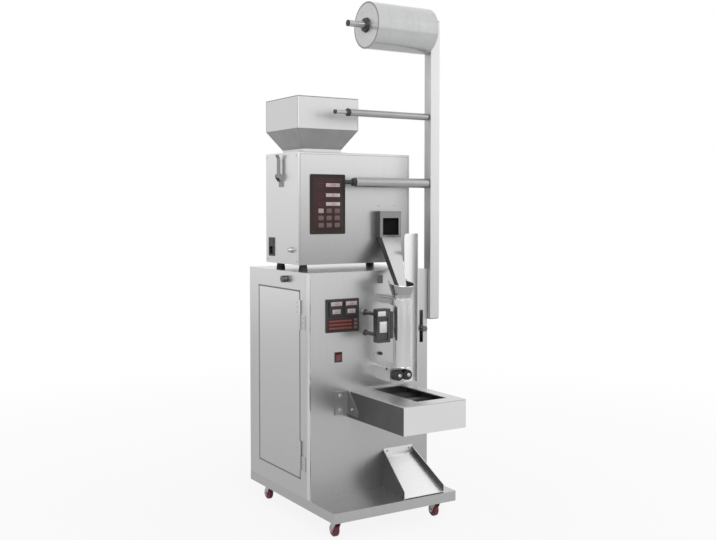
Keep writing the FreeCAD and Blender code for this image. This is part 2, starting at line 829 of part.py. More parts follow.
def build_rocker():
    """Rocker switch: a bezel and case in the face, and a rocker on a cross pin."""
    middle_x = left + s.rocker_left + s.rocker_width / 2
    middle_z = tray_top + rocker_rise + s.rocker_height / 2
    case = new_body("rocker_housing", middle_x, front, middle_z)
    pad(case, rectangle(draw(case, "XZ_Plane"), -s.rocker_width / 2, -s.rocker_height / 2,
                        s.rocker_width, s.rocker_height), s.rocker_bezel)
    soften(case, s.rocker_bezel * 0.4, lambda edge: edge.CenterOfMass.y
           < -s.rocker_bezel.value + 0.01 or along(edge, "y"), "PartDesign::Chamfer")
    inner_width = s.rocker_width - 2 * s.rocker_bezel - 2 * s.controller_fit
    inner_height = s.rocker_height - 2 * s.rocker_bezel - 2 * s.controller_fit
    shell = rectangle(draw(case, "XZ_Plane"), -inner_width / 2, -inner_height / 2, inner_width,
                      inner_height)
    pad(case, shell, s.rocker_body_depth, reverse=True)
    mouth = draw(case, "XZ_Plane", s.rocker_bezel)
    rectangle(mouth, -s.rocker_mouth_width / 2, -s.rocker_mouth_height / 2,
              s.rocker_mouth_width, s.rocker_mouth_height)
    cut(case, mouth, s.rocker_bezel + 0.01)
    well_height = inner_height - 2
    well = rectangle(draw(case, "XZ_Plane"), -s.rocker_mouth_width / 2, -well_height / 2,
                     s.rocker_mouth_width, well_height)
    cut(case, well, s.rocker_body_depth - s.rocker_bezel)
    pin_hole = circle(draw(case, "YZ_Plane", -inner_width / 2), s.rocker_pivot_depth, 0,
                      s.rocker_pin_radius + s.running_gap)
    cut(case, pin_hole, inner_width, reverse=True)

    button = new_body("rocker_button", middle_x, front + s.rocker_pivot_depth, middle_z)
    button.Placement.Rotation = Rotation(Vector(1, 0, 0), SIZES["rocker_tilt"])
    bind(button, "Placement.Rotation.Angle", s.rocker_tilt)
    width = s.rocker_mouth_width - 1
    profile = [(-s.rocker_crest, 0), (-s.rocker_end_out, s.rocker_end_up),
               (0, s.rocker_end_up + s.rocker_swell),
               (s.rocker_root, s.rocker_end_up * 0.6), (s.rocker_root, -s.rocker_end_up * 0.6),
               (0, -s.rocker_end_up - s.rocker_swell),
               (-s.rocker_end_out, -s.rocker_end_up)]
    pad(button, polygon(draw(button, "YZ_Plane", -width / 2), profile), width)
    pin = inner_width - 0.4
    pad(button, circle(draw(button, "YZ_Plane", -pin / 2), 0, 0, s.rocker_pin_radius), pin)


def build_weigher_housing():
    """Closed sheet box on rubber feet, with the hood window and the hopper throat."""
    body = new_body("weigher_housing", left, housing_front, housing_bottom)
    pad(body, rectangle(draw(body, "XY_Plane"), 0, 0, s.housing_width, s.housing_depth),
        s.housing_height)
    soften(body, s.housing_corner, lambda edge: along(edge, "z") or along(edge, "x")
           and edge.CenterOfMass.z > s.housing_height.value - 0.1)
    window = rectangle(draw(body, "XZ_Plane"), s.hood_left + s.sheet, s.hood_rise + s.sheet,
                       s.hood_width - 2 * s.sheet, s.hood_height - 2 * s.sheet)
    cut(body, window, s.housing_depth - s.sheet)
    hollow = draw(body, "XY_Plane", s.sheet)
    rectangle(hollow, s.sheet, s.sheet, s.housing_width - 2 * s.sheet,
              s.housing_depth - 2 * s.sheet)
    cut(body, hollow, s.housing_height - 2 * s.sheet, reverse=True)
    half = s.throat_opening_side / 2
    throat = rectangle(draw(body, "XY_Plane", s.housing_height), s.hopper_centre - half,
                       s.housing_depth / 2 - half, s.throat_opening_side,
                       s.throat_opening_side)
    cut(body, throat, s.sheet)
    rear_y = s.inlet_from_front
    inlet = rectangle(draw(body, "YZ_Plane"), rear_y + s.inlet_bezel,
                      s.inlet_rise + s.inlet_bezel, s.inlet_width - 2 * s.inlet_bezel,
                      s.inlet_height - 2 * s.inlet_bezel)
    cut(body, inlet, s.sheet, reverse=True)


def build_housing_feet():
    inset = s.foot_inset
    members = []
    for x in (inset, s.housing_width - inset):
        for y in (inset, s.housing_depth - inset):
            foot = new_body("foot", left + x, housing_front + y, cabinet_top, kept=False)
            waist = s.foot_radius * 0.82
            outline = [(0, 0), (s.foot_radius, 0), (s.foot_radius, s.foot_height * 0.25),
                       (waist, s.foot_height), (0, s.foot_height)]
            revolve(foot, polygon(draw(foot, "XZ_Plane"), outline), "V_Axis")
            members.append(foot)
    group("housing_feet", members)


def build_weigher_keypad():
    body = new_body("weigher_keypad", left + s.keypad_left, housing_front,
                    housing_bottom + s.keypad_rise)
    pad(body, rectangle(draw(body, "XZ_Plane"), 0, 0, s.keypad_width, s.keypad_height),
        s.keypad_thickness)
    soften(body, s.keypad_thickness * 2, lambda edge: along(edge, "y"))


def build_power_inlet():
    """Black inlet block with a recessed three-pole socket."""
    body = new_body("power_inlet", left, housing_front + s.inlet_from_front,
                    housing_bottom + s.inlet_rise)
    pad(body, rectangle(draw(body, "YZ_Plane"), 0, 0, s.inlet_width, s.inlet_height),
        s.inlet_bezel, reverse=True)
    soften(body, s.inlet_bezel * 0.6, lambda edge: along(edge, "x"), "PartDesign::Chamfer")
    rim = s.inlet_bezel + s.controller_fit
    case = rectangle(draw(body, "YZ_Plane"), rim, rim, s.inlet_width - 2 * rim,
                     s.inlet_height - 2 * rim)
    pad(body, case, s.inlet_body_depth)
    socket_height = s.inlet_height * 0.42
    socket = rectangle(draw(body, "YZ_Plane", -s.inlet_bezel), 2 * s.inlet_bezel,
                       2 * s.inlet_bezel, s.inlet_width - 4 * s.inlet_bezel, socket_height)
    cut(body, socket, s.inlet_body_depth * 0.6, reverse=True)


def build_cable_gland():
    body = new_body("cable_gland", left, housing_front + s.gland_from_front,
                    housing_bottom + s.gland_rise)
    flange = s.gland_reach * 0.45
    ring = [(0, 0), (0, s.gland_radius), (-flange, s.gland_radius),
            (-flange, s.gland_radius * 0.8), (-s.gland_reach, s.gland_radius * 0.55),
            (-s.gland_reach, 0)]
    revolve(body, polygon(draw(body, "XZ_Plane"), ring), "H_Axis")


def build_discharge_hood():
    """Folded hood with a front window, and a slide that runs back under the bucket."""
    body = new_body("discharge_hood", left + s.hood_left, housing_front,
                    housing_bottom + s.hood_rise)
    pad(body, rectangle(draw(body, "XY_Plane"), 0, -s.hood_reach, s.hood_width, s.hood_reach),
        s.hood_height)
    soften(body, s.sheet, lambda edge: along(edge, "z")
           and edge.CenterOfMass.y < 0.1 - s.hood_reach.value)
    hollow = rectangle(draw(body, "XY_Plane"), s.sheet, s.sheet - s.hood_reach,
                       s.hood_width - 2 * s.sheet, s.hood_reach)
    cut(body, hollow, s.hood_height - s.sheet, reverse=True)
    window = rectangle(draw(body, "XZ_Plane", s.hood_reach), s.hood_frame, s.hood_sill,
                       s.hood_width - 2 * s.hood_frame,
                       s.hood_height - s.hood_lintel - s.hood_sill)
    cut(body, window, s.sheet)
    inner = s.sheet + s.ramp_gap
    sole = [(-s.sheet, inner), (s.ramp_length, inner + s.ramp_lift),
            (s.ramp_length, inner + s.ramp_lift + s.sheet), (-s.sheet, inner + s.sheet)]
    slide = polygon(draw(body, "YZ_Plane", s.sheet), sole)
    pad(body, slide, s.hood_width - 2 * s.sheet)
    for x in (inner, s.hood_width - inner - s.sheet):
        cheek = [(0, inner), (s.ramp_length, inner + s.ramp_lift),
                 (s.ramp_length, s.hood_height - s.sheet), (0, s.hood_height - inner)]
        pad(body, polygon(draw(body, "YZ_Plane", x), cheek), s.sheet)


def build_feed_chute():
    """Polished funnel from the hood's open bottom down into the forming tube."""
    top = housing_bottom + s.hood_rise
    body = new_body("feed_chute", left + s.former_x, front - s.former_y, top)
    drop = top - (s.tube_bottom + s.tube_length) + s.chute_dip
    start_x = s.hood_left + s.chute_inset - s.former_x
    width = s.hood_width - 2 * s.chute_inset
    start_y = s.former_y + s.housing_setback - s.hood_reach
    depth = s.hood_reach - s.sheet
    side = s.chute_end_side
    wall = s.chute_wall
    foot = (-side / 2, -side / 2, side, side)
    mouth = (start_x, start_y, width, depth)
    wedge(body, -drop, drop, foot, mouth)
    inner_foot = (wall - side / 2, wall - side / 2, side - 2 * wall, side - 2 * wall)
    inner_mouth = (start_x + wall, start_y + wall, width - 2 * wall, depth - 2 * wall)
    wedge(body, -drop, drop, inner_foot, inner_mouth, "PartDesign::SubtractiveWedge")


def build_hopper():
    """Square stainless hopper: straight rim part, pyramid, neck and bolting flange."""
    body = new_body("hopper", left + s.hopper_centre, housing_front + s.housing_depth / 2,
                    housing_top)

    def centred(side):
        return -side / 2, -side / 2, side, side

    def square(sketch, side):
        return rectangle(sketch, *centred(side))

    neck_top = s.hopper_neck_height
    slope_top = neck_top + s.hopper_slope_height
    wall = 2 * s.hopper_wall
    pad(body, square(draw(body, "XY_Plane"), s.hopper_flange_side), s.hopper_flange_thickness)
    pad(body, square(draw(body, "XY_Plane"), s.hopper_throat_side), neck_top)
    wedge(body, neck_top, s.hopper_slope_height, centred(s.hopper_throat_side),
          centred(s.hopper_side))
    pad(body, square(draw(body, "XY_Plane", slope_top), s.hopper_side), s.hopper_rim_height)
    soften(body, s.hopper_wall * 1.5, lambda edge: along(edge, "z")
           and edge.CenterOfMass.z > slope_top.value)
    bore = square(draw(body, "XY_Plane"), s.throat_opening_side)
    cut(body, bore, neck_top, reverse=True)
    wedge(body, neck_top, s.hopper_slope_height, centred(s.throat_opening_side),
          centred(s.hopper_side - wall), "PartDesign::SubtractiveWedge")
    top_inside = square(draw(body, "XY_Plane", slope_top + s.hopper_rim_height),
                        s.hopper_side - wall)
    cut(body, top_inside, s.hopper_rim_height)


def toggle_pivot():
    """Cross pin of the toggle latch, from the housing's lower front left corner."""
    y = s.toggle_from_front + s.toggle_width / 2
    z = s.housing_height - s.toggle_lever_length - s.toggle_drop
    return -s.toggle_base_thickness - s.toggle_pin_out, y, z


def build_toggle_latch():
    """Draw latch on the housing's left face: a base with two ears and a bent lever."""
    out, y, z = toggle_pivot()
    base = new_body("latch_base", left, housing_front + y, housing_bottom + z)
    half = s.toggle_width / 2
    height = s.toggle_base_height
    pad(base, rectangle(draw(base, "YZ_Plane"), -half, -height, s.toggle_width, height
                        + s.toggle_base_lip),
        s.toggle_base_thickness, reverse=True)
    ear = [(0, -height * 0.5), (0, 5), (out - 5, 5), (out - 5, -5), (out + 4, -height * 0.5)]
    for offset in (half - s.toggle_ear, -half):
        pad(base, polygon(draw(base, "XZ_Plane", offset), ear), s.toggle_ear)
    hole = circle(draw(base, "XZ_Plane", half), out, 0, s.toggle_pin_radius + s.running_gap)
    cut(base, hole, s.toggle_width)

    lever = new_body("latch_lever", left + out, housing_front + y, housing_bottom + z)
    inner = s.toggle_width - 2 * s.toggle_ear - 2 * s.swivel_gap
    reach = s.toggle_lever_length
    thick = s.toggle_lever_thickness
    arm = [(-4, -5), (4, -5), (4, 6), (-out * 0.25, 14), (-out * 0.25, reach - 14),
           (out * 0.3, reach), (out * 0.3 - thick, reach), (-out * 0.25 - thick, reach - 12),
           (-out * 0.25 - thick, 12), (-4, 5)]
    pad(lever, polygon(draw(lever, "XZ_Plane", -inner / 2), arm), inner)
    pin = s.toggle_width - 1
    pad(lever, circle(draw(lever, "XZ_Plane", -pin / 2), 0, 0, s.toggle_pin_radius), pin)


def build_weigh_bucket():
    """Open weigh bucket on its load arm, closed below by a hinged gate."""
    wall = s.bucket_wall
    x = s.hood_left + (s.hood_width - s.bucket_width) / 2
    y = s.bucket_setback
    bucket = new_body("weigh_bucket", left + x, housing_front + y,
                      housing_bottom + bucket_rise)
    low = draw(bucket, "XY_Plane")
    rectangle(low, 0, 0, s.bucket_width, s.bucket_depth)
    pad(bucket, low, s.bucket_height)
    hollow = rectangle(draw(bucket, "XY_Plane"), wall, wall, s.bucket_width - 2 * wall,
                       s.bucket_depth - 2 * wall)
    cut(bucket, hollow, s.bucket_height, reverse=True)
    arm_length = s.housing_depth - s.sheet - y - s.bucket_depth
    arm = rectangle(draw(bucket, "XZ_Plane", -s.bucket_depth),
                    (s.bucket_width - s.bucket_arm_width) / 2,
                    s.bucket_height - 2 * s.bucket_arm_height, s.bucket_arm_width,
                    s.bucket_arm_height)
    pad(bucket, arm, arm_length, reverse=True)
    lug_drop = s.gate_pin_radius + s.gate_gap + s.gate_thickness / 2
    lug_foot = -lug_drop - 2 * s.gate_pin_radius
    lug = [(s.bucket_depth, 0), (s.bucket_depth, s.gate_lug),
           (s.bucket_depth + s.gate_lug, s.gate_lug), (s.bucket_depth + s.gate_lug, lug_foot),
           (s.bucket_depth + s.gate_pin_radius, lug_foot)]
    for offset in (0, s.bucket_width - s.gate_lug_thickness):
        pad(bucket, polygon(draw(bucket, "YZ_Plane", offset), lug), s.gate_lug_thickness)
    pivot_y = s.bucket_depth + s.gate_lug * 0.6
    hole = circle(draw(bucket, "YZ_Plane"), pivot_y, -lug_drop,
                  s.gate_pin_radius + s.running_gap)
    cut(bucket, hole, s.bucket_width, reverse=True)

    gate = new_body("bucket_gate", left + x, housing_front + y + pivot_y,
                    housing_bottom + bucket_rise - lug_drop)
    side_gap = s.gate_lug_thickness + s.swivel_gap
    inner = s.bucket_width - 2 * side_gap
    flap_bottom = lug_drop - s.gate_gap - s.gate_thickness
    flap = rectangle(draw(gate, "YZ_Plane"), -pivot_y, flap_bottom, pivot_y - s.gate_strip,
                     s.gate_thickness)
    pad(gate, flap, s.bucket_width)
    strip = rectangle(draw(gate, "YZ_Plane", side_gap), -s.gate_strip - 1, flap_bottom,
                      s.gate_strip + 1, s.gate_thickness)
    pad(gate, strip, inner)
    pad(gate, circle(draw(gate, "YZ_Plane", side_gap), 0, 0, s.gate_pin_radius + 1.4), inner)
    pad(gate, circle(draw(gate, "YZ_Plane", 0.5), 0, 0, s.gate_pin_radius),
        s.bucket_width - 1)


def build_feeder():
    """Vibrating pan from under the hopper to the bucket, on its vibrator and wall arm."""
    bottom = bucket_rise + s.bucket_height + s.feeder_clearance
    middle = s.housing_depth / 2
    body = new_body("feeder_tray", left + s.feeder_left, housing_front + middle,
                    housing_bottom + bottom)
    half = s.feeder_width / 2
    wall = s.feeder_wall
    pan = [(-half, 0), (half, 0), (half, s.feeder_height), (half - wall, s.feeder_height),
           (half - wall, wall), (wall - half, wall), (wall - half, s.feeder_height),
           (-half, s.feeder_height)]
    pad(body, polygon(draw(body, "YZ_Plane"), pan), s.feeder_length)
    end = rectangle(draw(body, "YZ_Plane"), -half, 0, s.feeder_width, s.feeder_height)
    pad(body, end, wall)
    coil = rectangle(draw(body, "XY_Plane"), s.feeder_left, -half * 0.6, s.vibrator_length,
                     half * 1.2)
    pad(body, coil, s.vibrator_height, reverse=True)
    arm = rectangle(draw(body, "XZ_Plane", -half * 0.6), s.feeder_left * 2,
                    -s.vibrator_height, s.vibrator_length / 2, s.bucket_arm_height)
    pad(body, arm, middle - s.sheet - half * 0.6, reverse=True)


def mast_levels():
    foot = cabinet_top - s.mast_below_top
    return foot, foot + s.mast_height


def build_mast():
    """Square tube on the cabinet's right side, with cross bores for the three shafts."""
    foot, top = mast_levels()
    body = new_body("mast", right, front - s.mast_front_reach, foot)
    side = s.mast_side
    wall = s.mast_wall
    tube = draw(body, "XY_Plane")
    rectangle(tube, 0, 0, side, side)
    rectangle(tube, wall, wall, side - 2 * wall, side - 2 * wall)
    pad(body, tube, s.mast_height)
    cap = rectangle(draw(body, "XY_Plane", s.mast_height - wall), 0, 0, side, side)
    pad(body, cap, wall)
    for height, radius in shaft_rows():
        hole = circle(draw(body, "YZ_Plane"), side / 2, height - foot,
                      radius + s.running_gap)
        cut(body, hole, side, reverse=True)


def shaft_rows():
    """Height and radius of the spindle and of the two roller shafts."""
    top = mast_levels()[1]
    return [(top - s.spindle_below_mast_top, s.spindle_radius),
            (s.upper_roller_height, s.shaft_radius), (s.lower_roller_height, s.shaft_radius)]


def build_mast_brackets():
    """Two angle brackets behind the mast, bolted to the cabinet's right side."""
    foot = mast_levels()[0]
    behind = front - s.mast_front_reach + s.mast_side
    thick = s.mast_bracket_thickness
    members = []
    for number in range(2):
        level = foot + s.mast_bracket_rise + number * s.mast_bracket_pitch
        body = new_body("mast_bracket", right, behind, level, kept=False)
        angle = [(0, 0), (s.mast_side - 4, 0), (s.mast_side - 4, thick), (thick, thick),
                 (thick, s.mast_bracket_length), (0, s.mast_bracket_length)]
        pad(body, polygon(draw(body, "XY_Plane"), angle), s.mast_bracket_height)
        members.append(body)
    group("mast_brackets", members)


def build_film_roll():
    """Spindle from the mast, two cones, the paper core and the wound film."""
    height = shaft_rows()[0][0]
    y = front - s.mast_front_reach + s.mast_side / 2
    end = right - s.spindle_reach
    spindle = new_body("film_spindle", end, y, height)
    shoulder = s.spindle_plug + s.spindle_end_length
    length = s.spindle_reach + s.mast_side
    steps = [(s.spindle_plug, 0), (length, 0), (length, s.spindle_radius),
             (shoulder, s.spindle_radius), (shoulder, s.spindle_end_radius),
             (s.spindle_plug, s.spindle_end_radius)]
    revolve(spindle, polygon(draw(spindle, "XZ_Plane"), steps), "H_Axis")

    film_start = right - s.film_from_mast - s.cone_flange - s.film_width
    cones = []
    bore = s.spindle_radius + s.running_gap
    core_bore = s.core_radius - s.core_wall
    for turn, x in ((0, film_start - s.cone_flange),
                    (180, film_start + s.film_width + s.cone_flange)):
        cone = new_body("film_cone", x, y, height, kept=False)
        cone.Placement.Rotation = Rotation(Vector(0, 0, 1), turn)
        nose = core_bore - s.swivel_gap
        shape = [(0, bore), (s.cone_length, bore), (s.cone_length, nose * 0.8),
                 (s.cone_flange, nose), (s.cone_flange, s.cone_flange_radius),
                 (0, s.cone_flange_radius - s.sheet)]
        revolve(cone, polygon(draw(cone, "XZ_Plane"), shape), "H_Axis")
        cones.append(cone)
    group("film_cones", cones)

    core = new_body("film_core", film_start, y, height)
    tube = [(0, core_bore), (s.film_width, core_bore), (s.film_width, s.core_radius),
            (0, s.core_radius)]
    revolve(core, polygon(draw(core, "XZ_Plane"), tube), "H_Axis")
    film = new_body("film_roll", film_start, y, height)
    inner = s.core_radius + s.running_gap
    wound = [(0, inner), (s.film_width, inner), (s.film_width, s.film_radius - 0.5),
             (s.film_width - 0.5, s.film_radius), (0.5, s.film_radius),
             (0, s.film_radius - 0.5)]
    revolve(film, polygon(draw(film, "XZ_Plane"), wound), "H_Axis")


def build_rollers():
    """Two fixed shafts out of the mast, each with a free roller and a black collar."""
    y = front - s.mast_front_reach + s.mast_side / 2
    rows = [("upper_roller", s.upper_roller_height, s.upper_roller_radius,
             s.upper_roller_length, s.upper_shaft_reach),
            ("lower_roller", s.lower_roller_height, s.lower_roller_radius,
             s.lower_roller_length, s.lower_shaft_reach)]
    shafts = []
    collars = []
    for name, height, radius, length, reach in rows:
        shafts.append(bar("shaft", "x", right - reach, y, height, s.shaft_radius,
                          reach + s.mast_side))
        start = right - s.roller_mast_gap - length
        roller = new_body(name, start, y, height)
        bore = s.shaft_radius + s.running_gap
        shape = [(0, bore), (length, bore), (length, radius - 1), (length - 1, radius),
                 (1, radius), (0, radius - 1)]
        revolve(roller, polygon(draw(roller, "XZ_Plane"), shape), "H_Axis")
        collars.append(ring("collar", start - s.swivel_gap - s.shaft_collar_length, y, height,
                            s.shaft_radius, s.shaft_collar_radius, s.shaft_collar_length))
    plug = new_body("plug", right - s.spindle_reach, y, shaft_rows()[0][0], kept=False)
    tip = s.spindle_end_radius
    dome = [(0, 0), (s.spindle_plug, 0), (s.spindle_plug, tip), (1, tip), (0, tip - 1)]
    revolve(plug, polygon(draw(plug, "XZ_Plane"), dome), "H_Axis")
    collars.append(plug)
    group("roller_shafts", shafts)
    group("shaft_collars", collars)


def ring(label, x, y, z, bore, radius, length):
    """A plain collar along X that fits a shaft with the running gap."""
    body = new_body(label, x, y, z, kept=False)
    hole = bore + s.running_gap
    shape = [(0, hole), (length, hole), (length, radius - 1), (length - 1, radius),
             (1, radius), (0, radius - 1)]
    revolve(body, polygon(draw(body, "XZ_Plane"), shape), "H_Axis")
    return body


def former_body(label, level):
    return new_body(label, left + s.former_x, front - s.former_y, level)


def build_former():
    """Forming tube with its film shoulder, held by a clamp on the cabinet's face."""
    tube = former_body("forming_tube", s.tube_bottom)
    walls = draw(tube, "XY_Plane")
    circle(walls, 0, 0, s.tube_radius)
    circle(walls, 0, 0, s.tube_radius - s.tube_wall)
    pad(tube, walls, s.tube_length)

    shoulder = former_body("forming_collar", s.shoulder_bottom)
    neck = s.tube_radius + s.shoulder_gap
    wall = s.shoulder_wall
    lip = s.shoulder_height * 0.2
    flare = [(neck, 0), (neck + wall, 0), (neck + wall, lip - 1),
             (s.shoulder_radius + wall, s.shoulder_height),
             (s.shoulder_radius - wall * 0.4, s.shoulder_height), (neck, lip)]
    revolve(shoulder, polygon(draw(shoulder, "XZ_Plane"), flare), "V_Axis")
    radius = s.shoulder_radius + 3 * wall
    back_cut = [(s.shoulder_back, -1), (radius, -1), (radius, s.shoulder_height + 1),
                (s.shoulder_back, s.shoulder_height + 1)]
    cut(shoulder, polygon(draw(shoulder, "YZ_Plane", radius), back_cut), 2 * radius)
    clear = s.shoulder_height + wall
    slope = [(-radius, s.shoulder_height - s.shoulder_front_drop),
             (s.shoulder_back, s.shoulder_height - s.shoulder_back_drop), (radius, clear),
             (-radius, clear)]
    cut(shoulder, polygon(draw(shoulder, "YZ_Plane", radius), slope), 2 * radius)
    arm = rectangle(draw(shoulder, "XY_Plane"), -s.clamp_arm_width / 2, neck + wall / 2,
                    s.clamp_arm_width, s.former_y - neck - wall / 2)
    pad(shoulder, arm, s.shoulder_wall * 2)

    plate = new_body("film_guide_plate", left + s.guide_left, front - s.guide_stand,
                     s.guide_bottom)
    fold = [(0, 0), (s.guide_width, 0), (s.guide_width, -s.guide_flange),
            (s.guide_width - s.sheet, -s.guide_flange), (s.guide_width - s.sheet, -s.sheet),
            (0, -s.sheet)]
    pad(plate, polygon(draw(plate, "XY_Plane"), fold), s.guide_height)
    soften(plate, s.guide_flange * 0.6, lambda edge: along(edge, "y")
           and edge.CenterOfMass.x < 0.01 and edge.CenterOfMass.z > s.guide_height.value - 1)

    clamp = former_body("tube_bracket", s.clamp_bottom)
    bore = s.tube_radius + s.clamp_fit
    outer_radius = s.tube_radius + s.clamp_ring
    pad(clamp, circle(draw(clamp, "XY_Plane"), 0, 0, outer_radius), s.clamp_height)
    width = s.clamp_arm_width
    pad(clamp, rectangle(draw(clamp, "XY_Plane"), -width / 2, 0, width, s.former_y),
        s.clamp_height)
    cut(clamp, circle(draw(clamp, "XY_Plane"), 0, 0, bore), s.clamp_height, reverse=True)
    pad_left = s.guide_left - s.former_x
    back_plate = draw(clamp, "XZ_Plane", -s.former_y)
    rectangle(back_plate, pad_left, -s.guide_pad_height / 3, s.guide_pad_width,
              s.guide_pad_height)
    pad(clamp, back_plate, s.guide_stand)
    tie_bar = rectangle(draw(clamp, "XZ_Plane", -s.former_y), 0, 0, pad_left + 1,
                        s.clamp_height)
    pad(clamp, tie_bar, s.guide_stand / 2)


def build_back_seal():
    """Guide head on two posts, and the heater bar that slides from it towards the tube."""
    block_body = new_body("seal_block", left + s.seal_block_left, front, s.seal_block_bottom)
    height = s.seal_block_height
    depth = s.seal_block_depth
    stand = depth - s.seal_head_depth
    head = rectangle(draw(block_body, "XZ_Plane", stand), 0, 0, s.seal_block_width, height)
    pad(block_body, head, s.seal_head_depth)
    soften(block_body, s.sheet, lambda edge: along(edge, "y"))
    posts = draw(block_body, "XZ_Plane")
    for sign in (-1, 1):
        circle(posts, s.seal_block_width / 2, height / 2 + sign * s.seal_post_pitch / 2,
               s.seal_post_radius)
    pad(block_body, posts, stand + 1)
    frame = s.seal_window
    window = rectangle(draw(block_body, "XZ_Plane", depth), frame, frame,
                       s.seal_block_width - 2 * frame, height * 0.66)
    cut(block_body, window, s.sheet * 2)
    rod_y = s.seal_rod_from_front - depth
    middle = height / 2
    for sign in (-1, 1):
        hole = circle(draw(block_body, "YZ_Plane"), rod_y,
                      middle + sign * s.seal_rod_pitch / 2, s.seal_rod_radius + s.running_gap)
        cut(block_body, hole, s.seal_block_width, reverse=True)

    bar_body = new_body("seal_bar", left + s.seal_block_left + s.seal_block_width
                        + s.seal_bar_gap, front, s.seal_block_bottom)
    start = rod_y - s.seal_bar_depth / 2
    heater = rectangle(draw(bar_body, "YZ_Plane"), start, middle - s.seal_bar_height / 2,
                       s.seal_bar_depth, s.seal_bar_height)
    pad(bar_body, heater, s.seal_bar_width)
    soften(bar_body, s.seal_bar_width / 4, lambda edge: along(edge, "z")
           and edge.CenterOfMass.x > s.seal_bar_width.value - 0.1)
    for sign in (-1, 1):
        guide = circle(draw(bar_body, "YZ_Plane"), rod_y,
                       middle + sign * s.seal_rod_pitch / 2, s.seal_rod_radius)
        pad(bar_body, guide, s.seal_block_width * 0.8, reverse=True)


def build_pull_wheels():
    """Black bearing block on the face, and two rubber wheels that nip the film tube."""
    block_depth = s.former_y - s.pull_wheel_stand - s.pull_wheel_width / 2
    half_pitch = s.pull_wheel_radius + s.pull_nip / 2
    width = 2 * half_pitch + 2 * s.pull_housing_margin
    middle_x = left + s.former_x
    body = new_body("pull_housing", middle_x, front, s.pull_height)
    pad(body, rectangle(draw(body, "XZ_Plane"), -width / 2, -s.pull_housing_height / 2, width,
                        s.pull_housing_height), block_depth)
    soften(body, s.sheet * 2, lambda edge: along(edge, "y"))
    holes = draw(body, "XZ_Plane", block_depth)
    for sign in (-1, 1):
        circle(holes, sign * half_pitch, 0, s.pull_shaft_radius + s.running_gap)
    cut(body, holes, block_depth - s.sheet)

    shaft = block_depth - s.sheet * 2
    wheel_start = s.pull_wheel_stand
    wheel_end = wheel_start + s.pull_wheel_width
    for name, sign in (("pull_wheel_left", -1), ("pull_wheel_right", 1)):
        wheel = new_body(name, middle_x + sign * half_pitch, front - block_depth,
                         s.pull_height)
        outline = [(0, shaft), (s.pull_shaft_radius, shaft), (s.pull_shaft_radius, -wheel_start),
                   (s.pull_wheel_radius - 1, -wheel_start),
                   (s.pull_wheel_radius, -wheel_start - 1),
                   (s.pull_wheel_radius, 1 - wheel_end), (s.pull_wheel_radius - 1, -wheel_end),
                   (s.pull_shaft_radius + 2, -wheel_end),
                   (s.pull_shaft_radius + 2, -wheel_end - 3), (0, -wheel_end - 3)]
        revolve(wheel, polygon(draw(wheel, "XY_Plane"), outline), "V_Axis")


def build_seal_trough():
    """Three-sided trough round the cross seal jaws, its slotted cover and its bracket."""
    wall = s.trough_wall
    body = new_body("seal_trough", left + s.trough_left, front, s.trough_bottom)
    height = s.trough_height - wall
    plan = [(0, 0), (0, -s.trough_reach), (s.trough_width, -s.trough_reach),
            (s.trough_width, 0), (s.trough_width - wall, 0),
            (s.trough_width - wall, wall - s.trough_reach), (wall, wall - s.trough_reach),
            (wall, 0)]
    pad(body, polygon(draw(body, "XY_Plane"), plan), height)
    soften(body, wall, lambda edge: along(edge, "z")
           and edge.CenterOfMass.y < 0.1 - s.trough_reach.value)

    cover = new_body("trough_cover", left + s.trough_left, front, s.trough_bottom + height)
    pad(cover, rectangle(draw(cover, "XY_Plane"), 0, -s.trough_reach, s.trough_width,
                         s.trough_reach), wall)
    soften(cover, wall, lambda edge: along(edge, "z")
           and edge.CenterOfMass.y < 0.1 - s.trough_reach.value)
    slot = rectangle(draw(cover, "XY_Plane", wall), s.slot_left,
                     -s.slot_from_cabinet - s.slot_length, s.slot_width, s.slot_length)
    cut(cover, slot, wall)

    bracket = new_body("corner_bracket", left + s.trough_left, front, s.trough_bottom
                       + s.bracket_rise)
    thick = s.bracket_thickness
    angle = [(0, 0), (-s.bracket_reach, 0), (-s.bracket_reach, -thick), (-thick, -thick),
             (-thick, -s.bracket_leg), (0, -s.bracket_leg)]
    pad(bracket, polygon(draw(bracket, "XY_Plane"), angle), s.bracket_height)
    slant = [(-s.bracket_leg - 1, s.bracket_height + 1), (-s.bracket_leg - 1, s.bracket_slant),
             (-s.bracket_leg, s.bracket_slant), (-2 * thick, s.bracket_height + 1)]
    cut(bracket, polygon(draw(bracket, "YZ_Plane"), slant), thick)


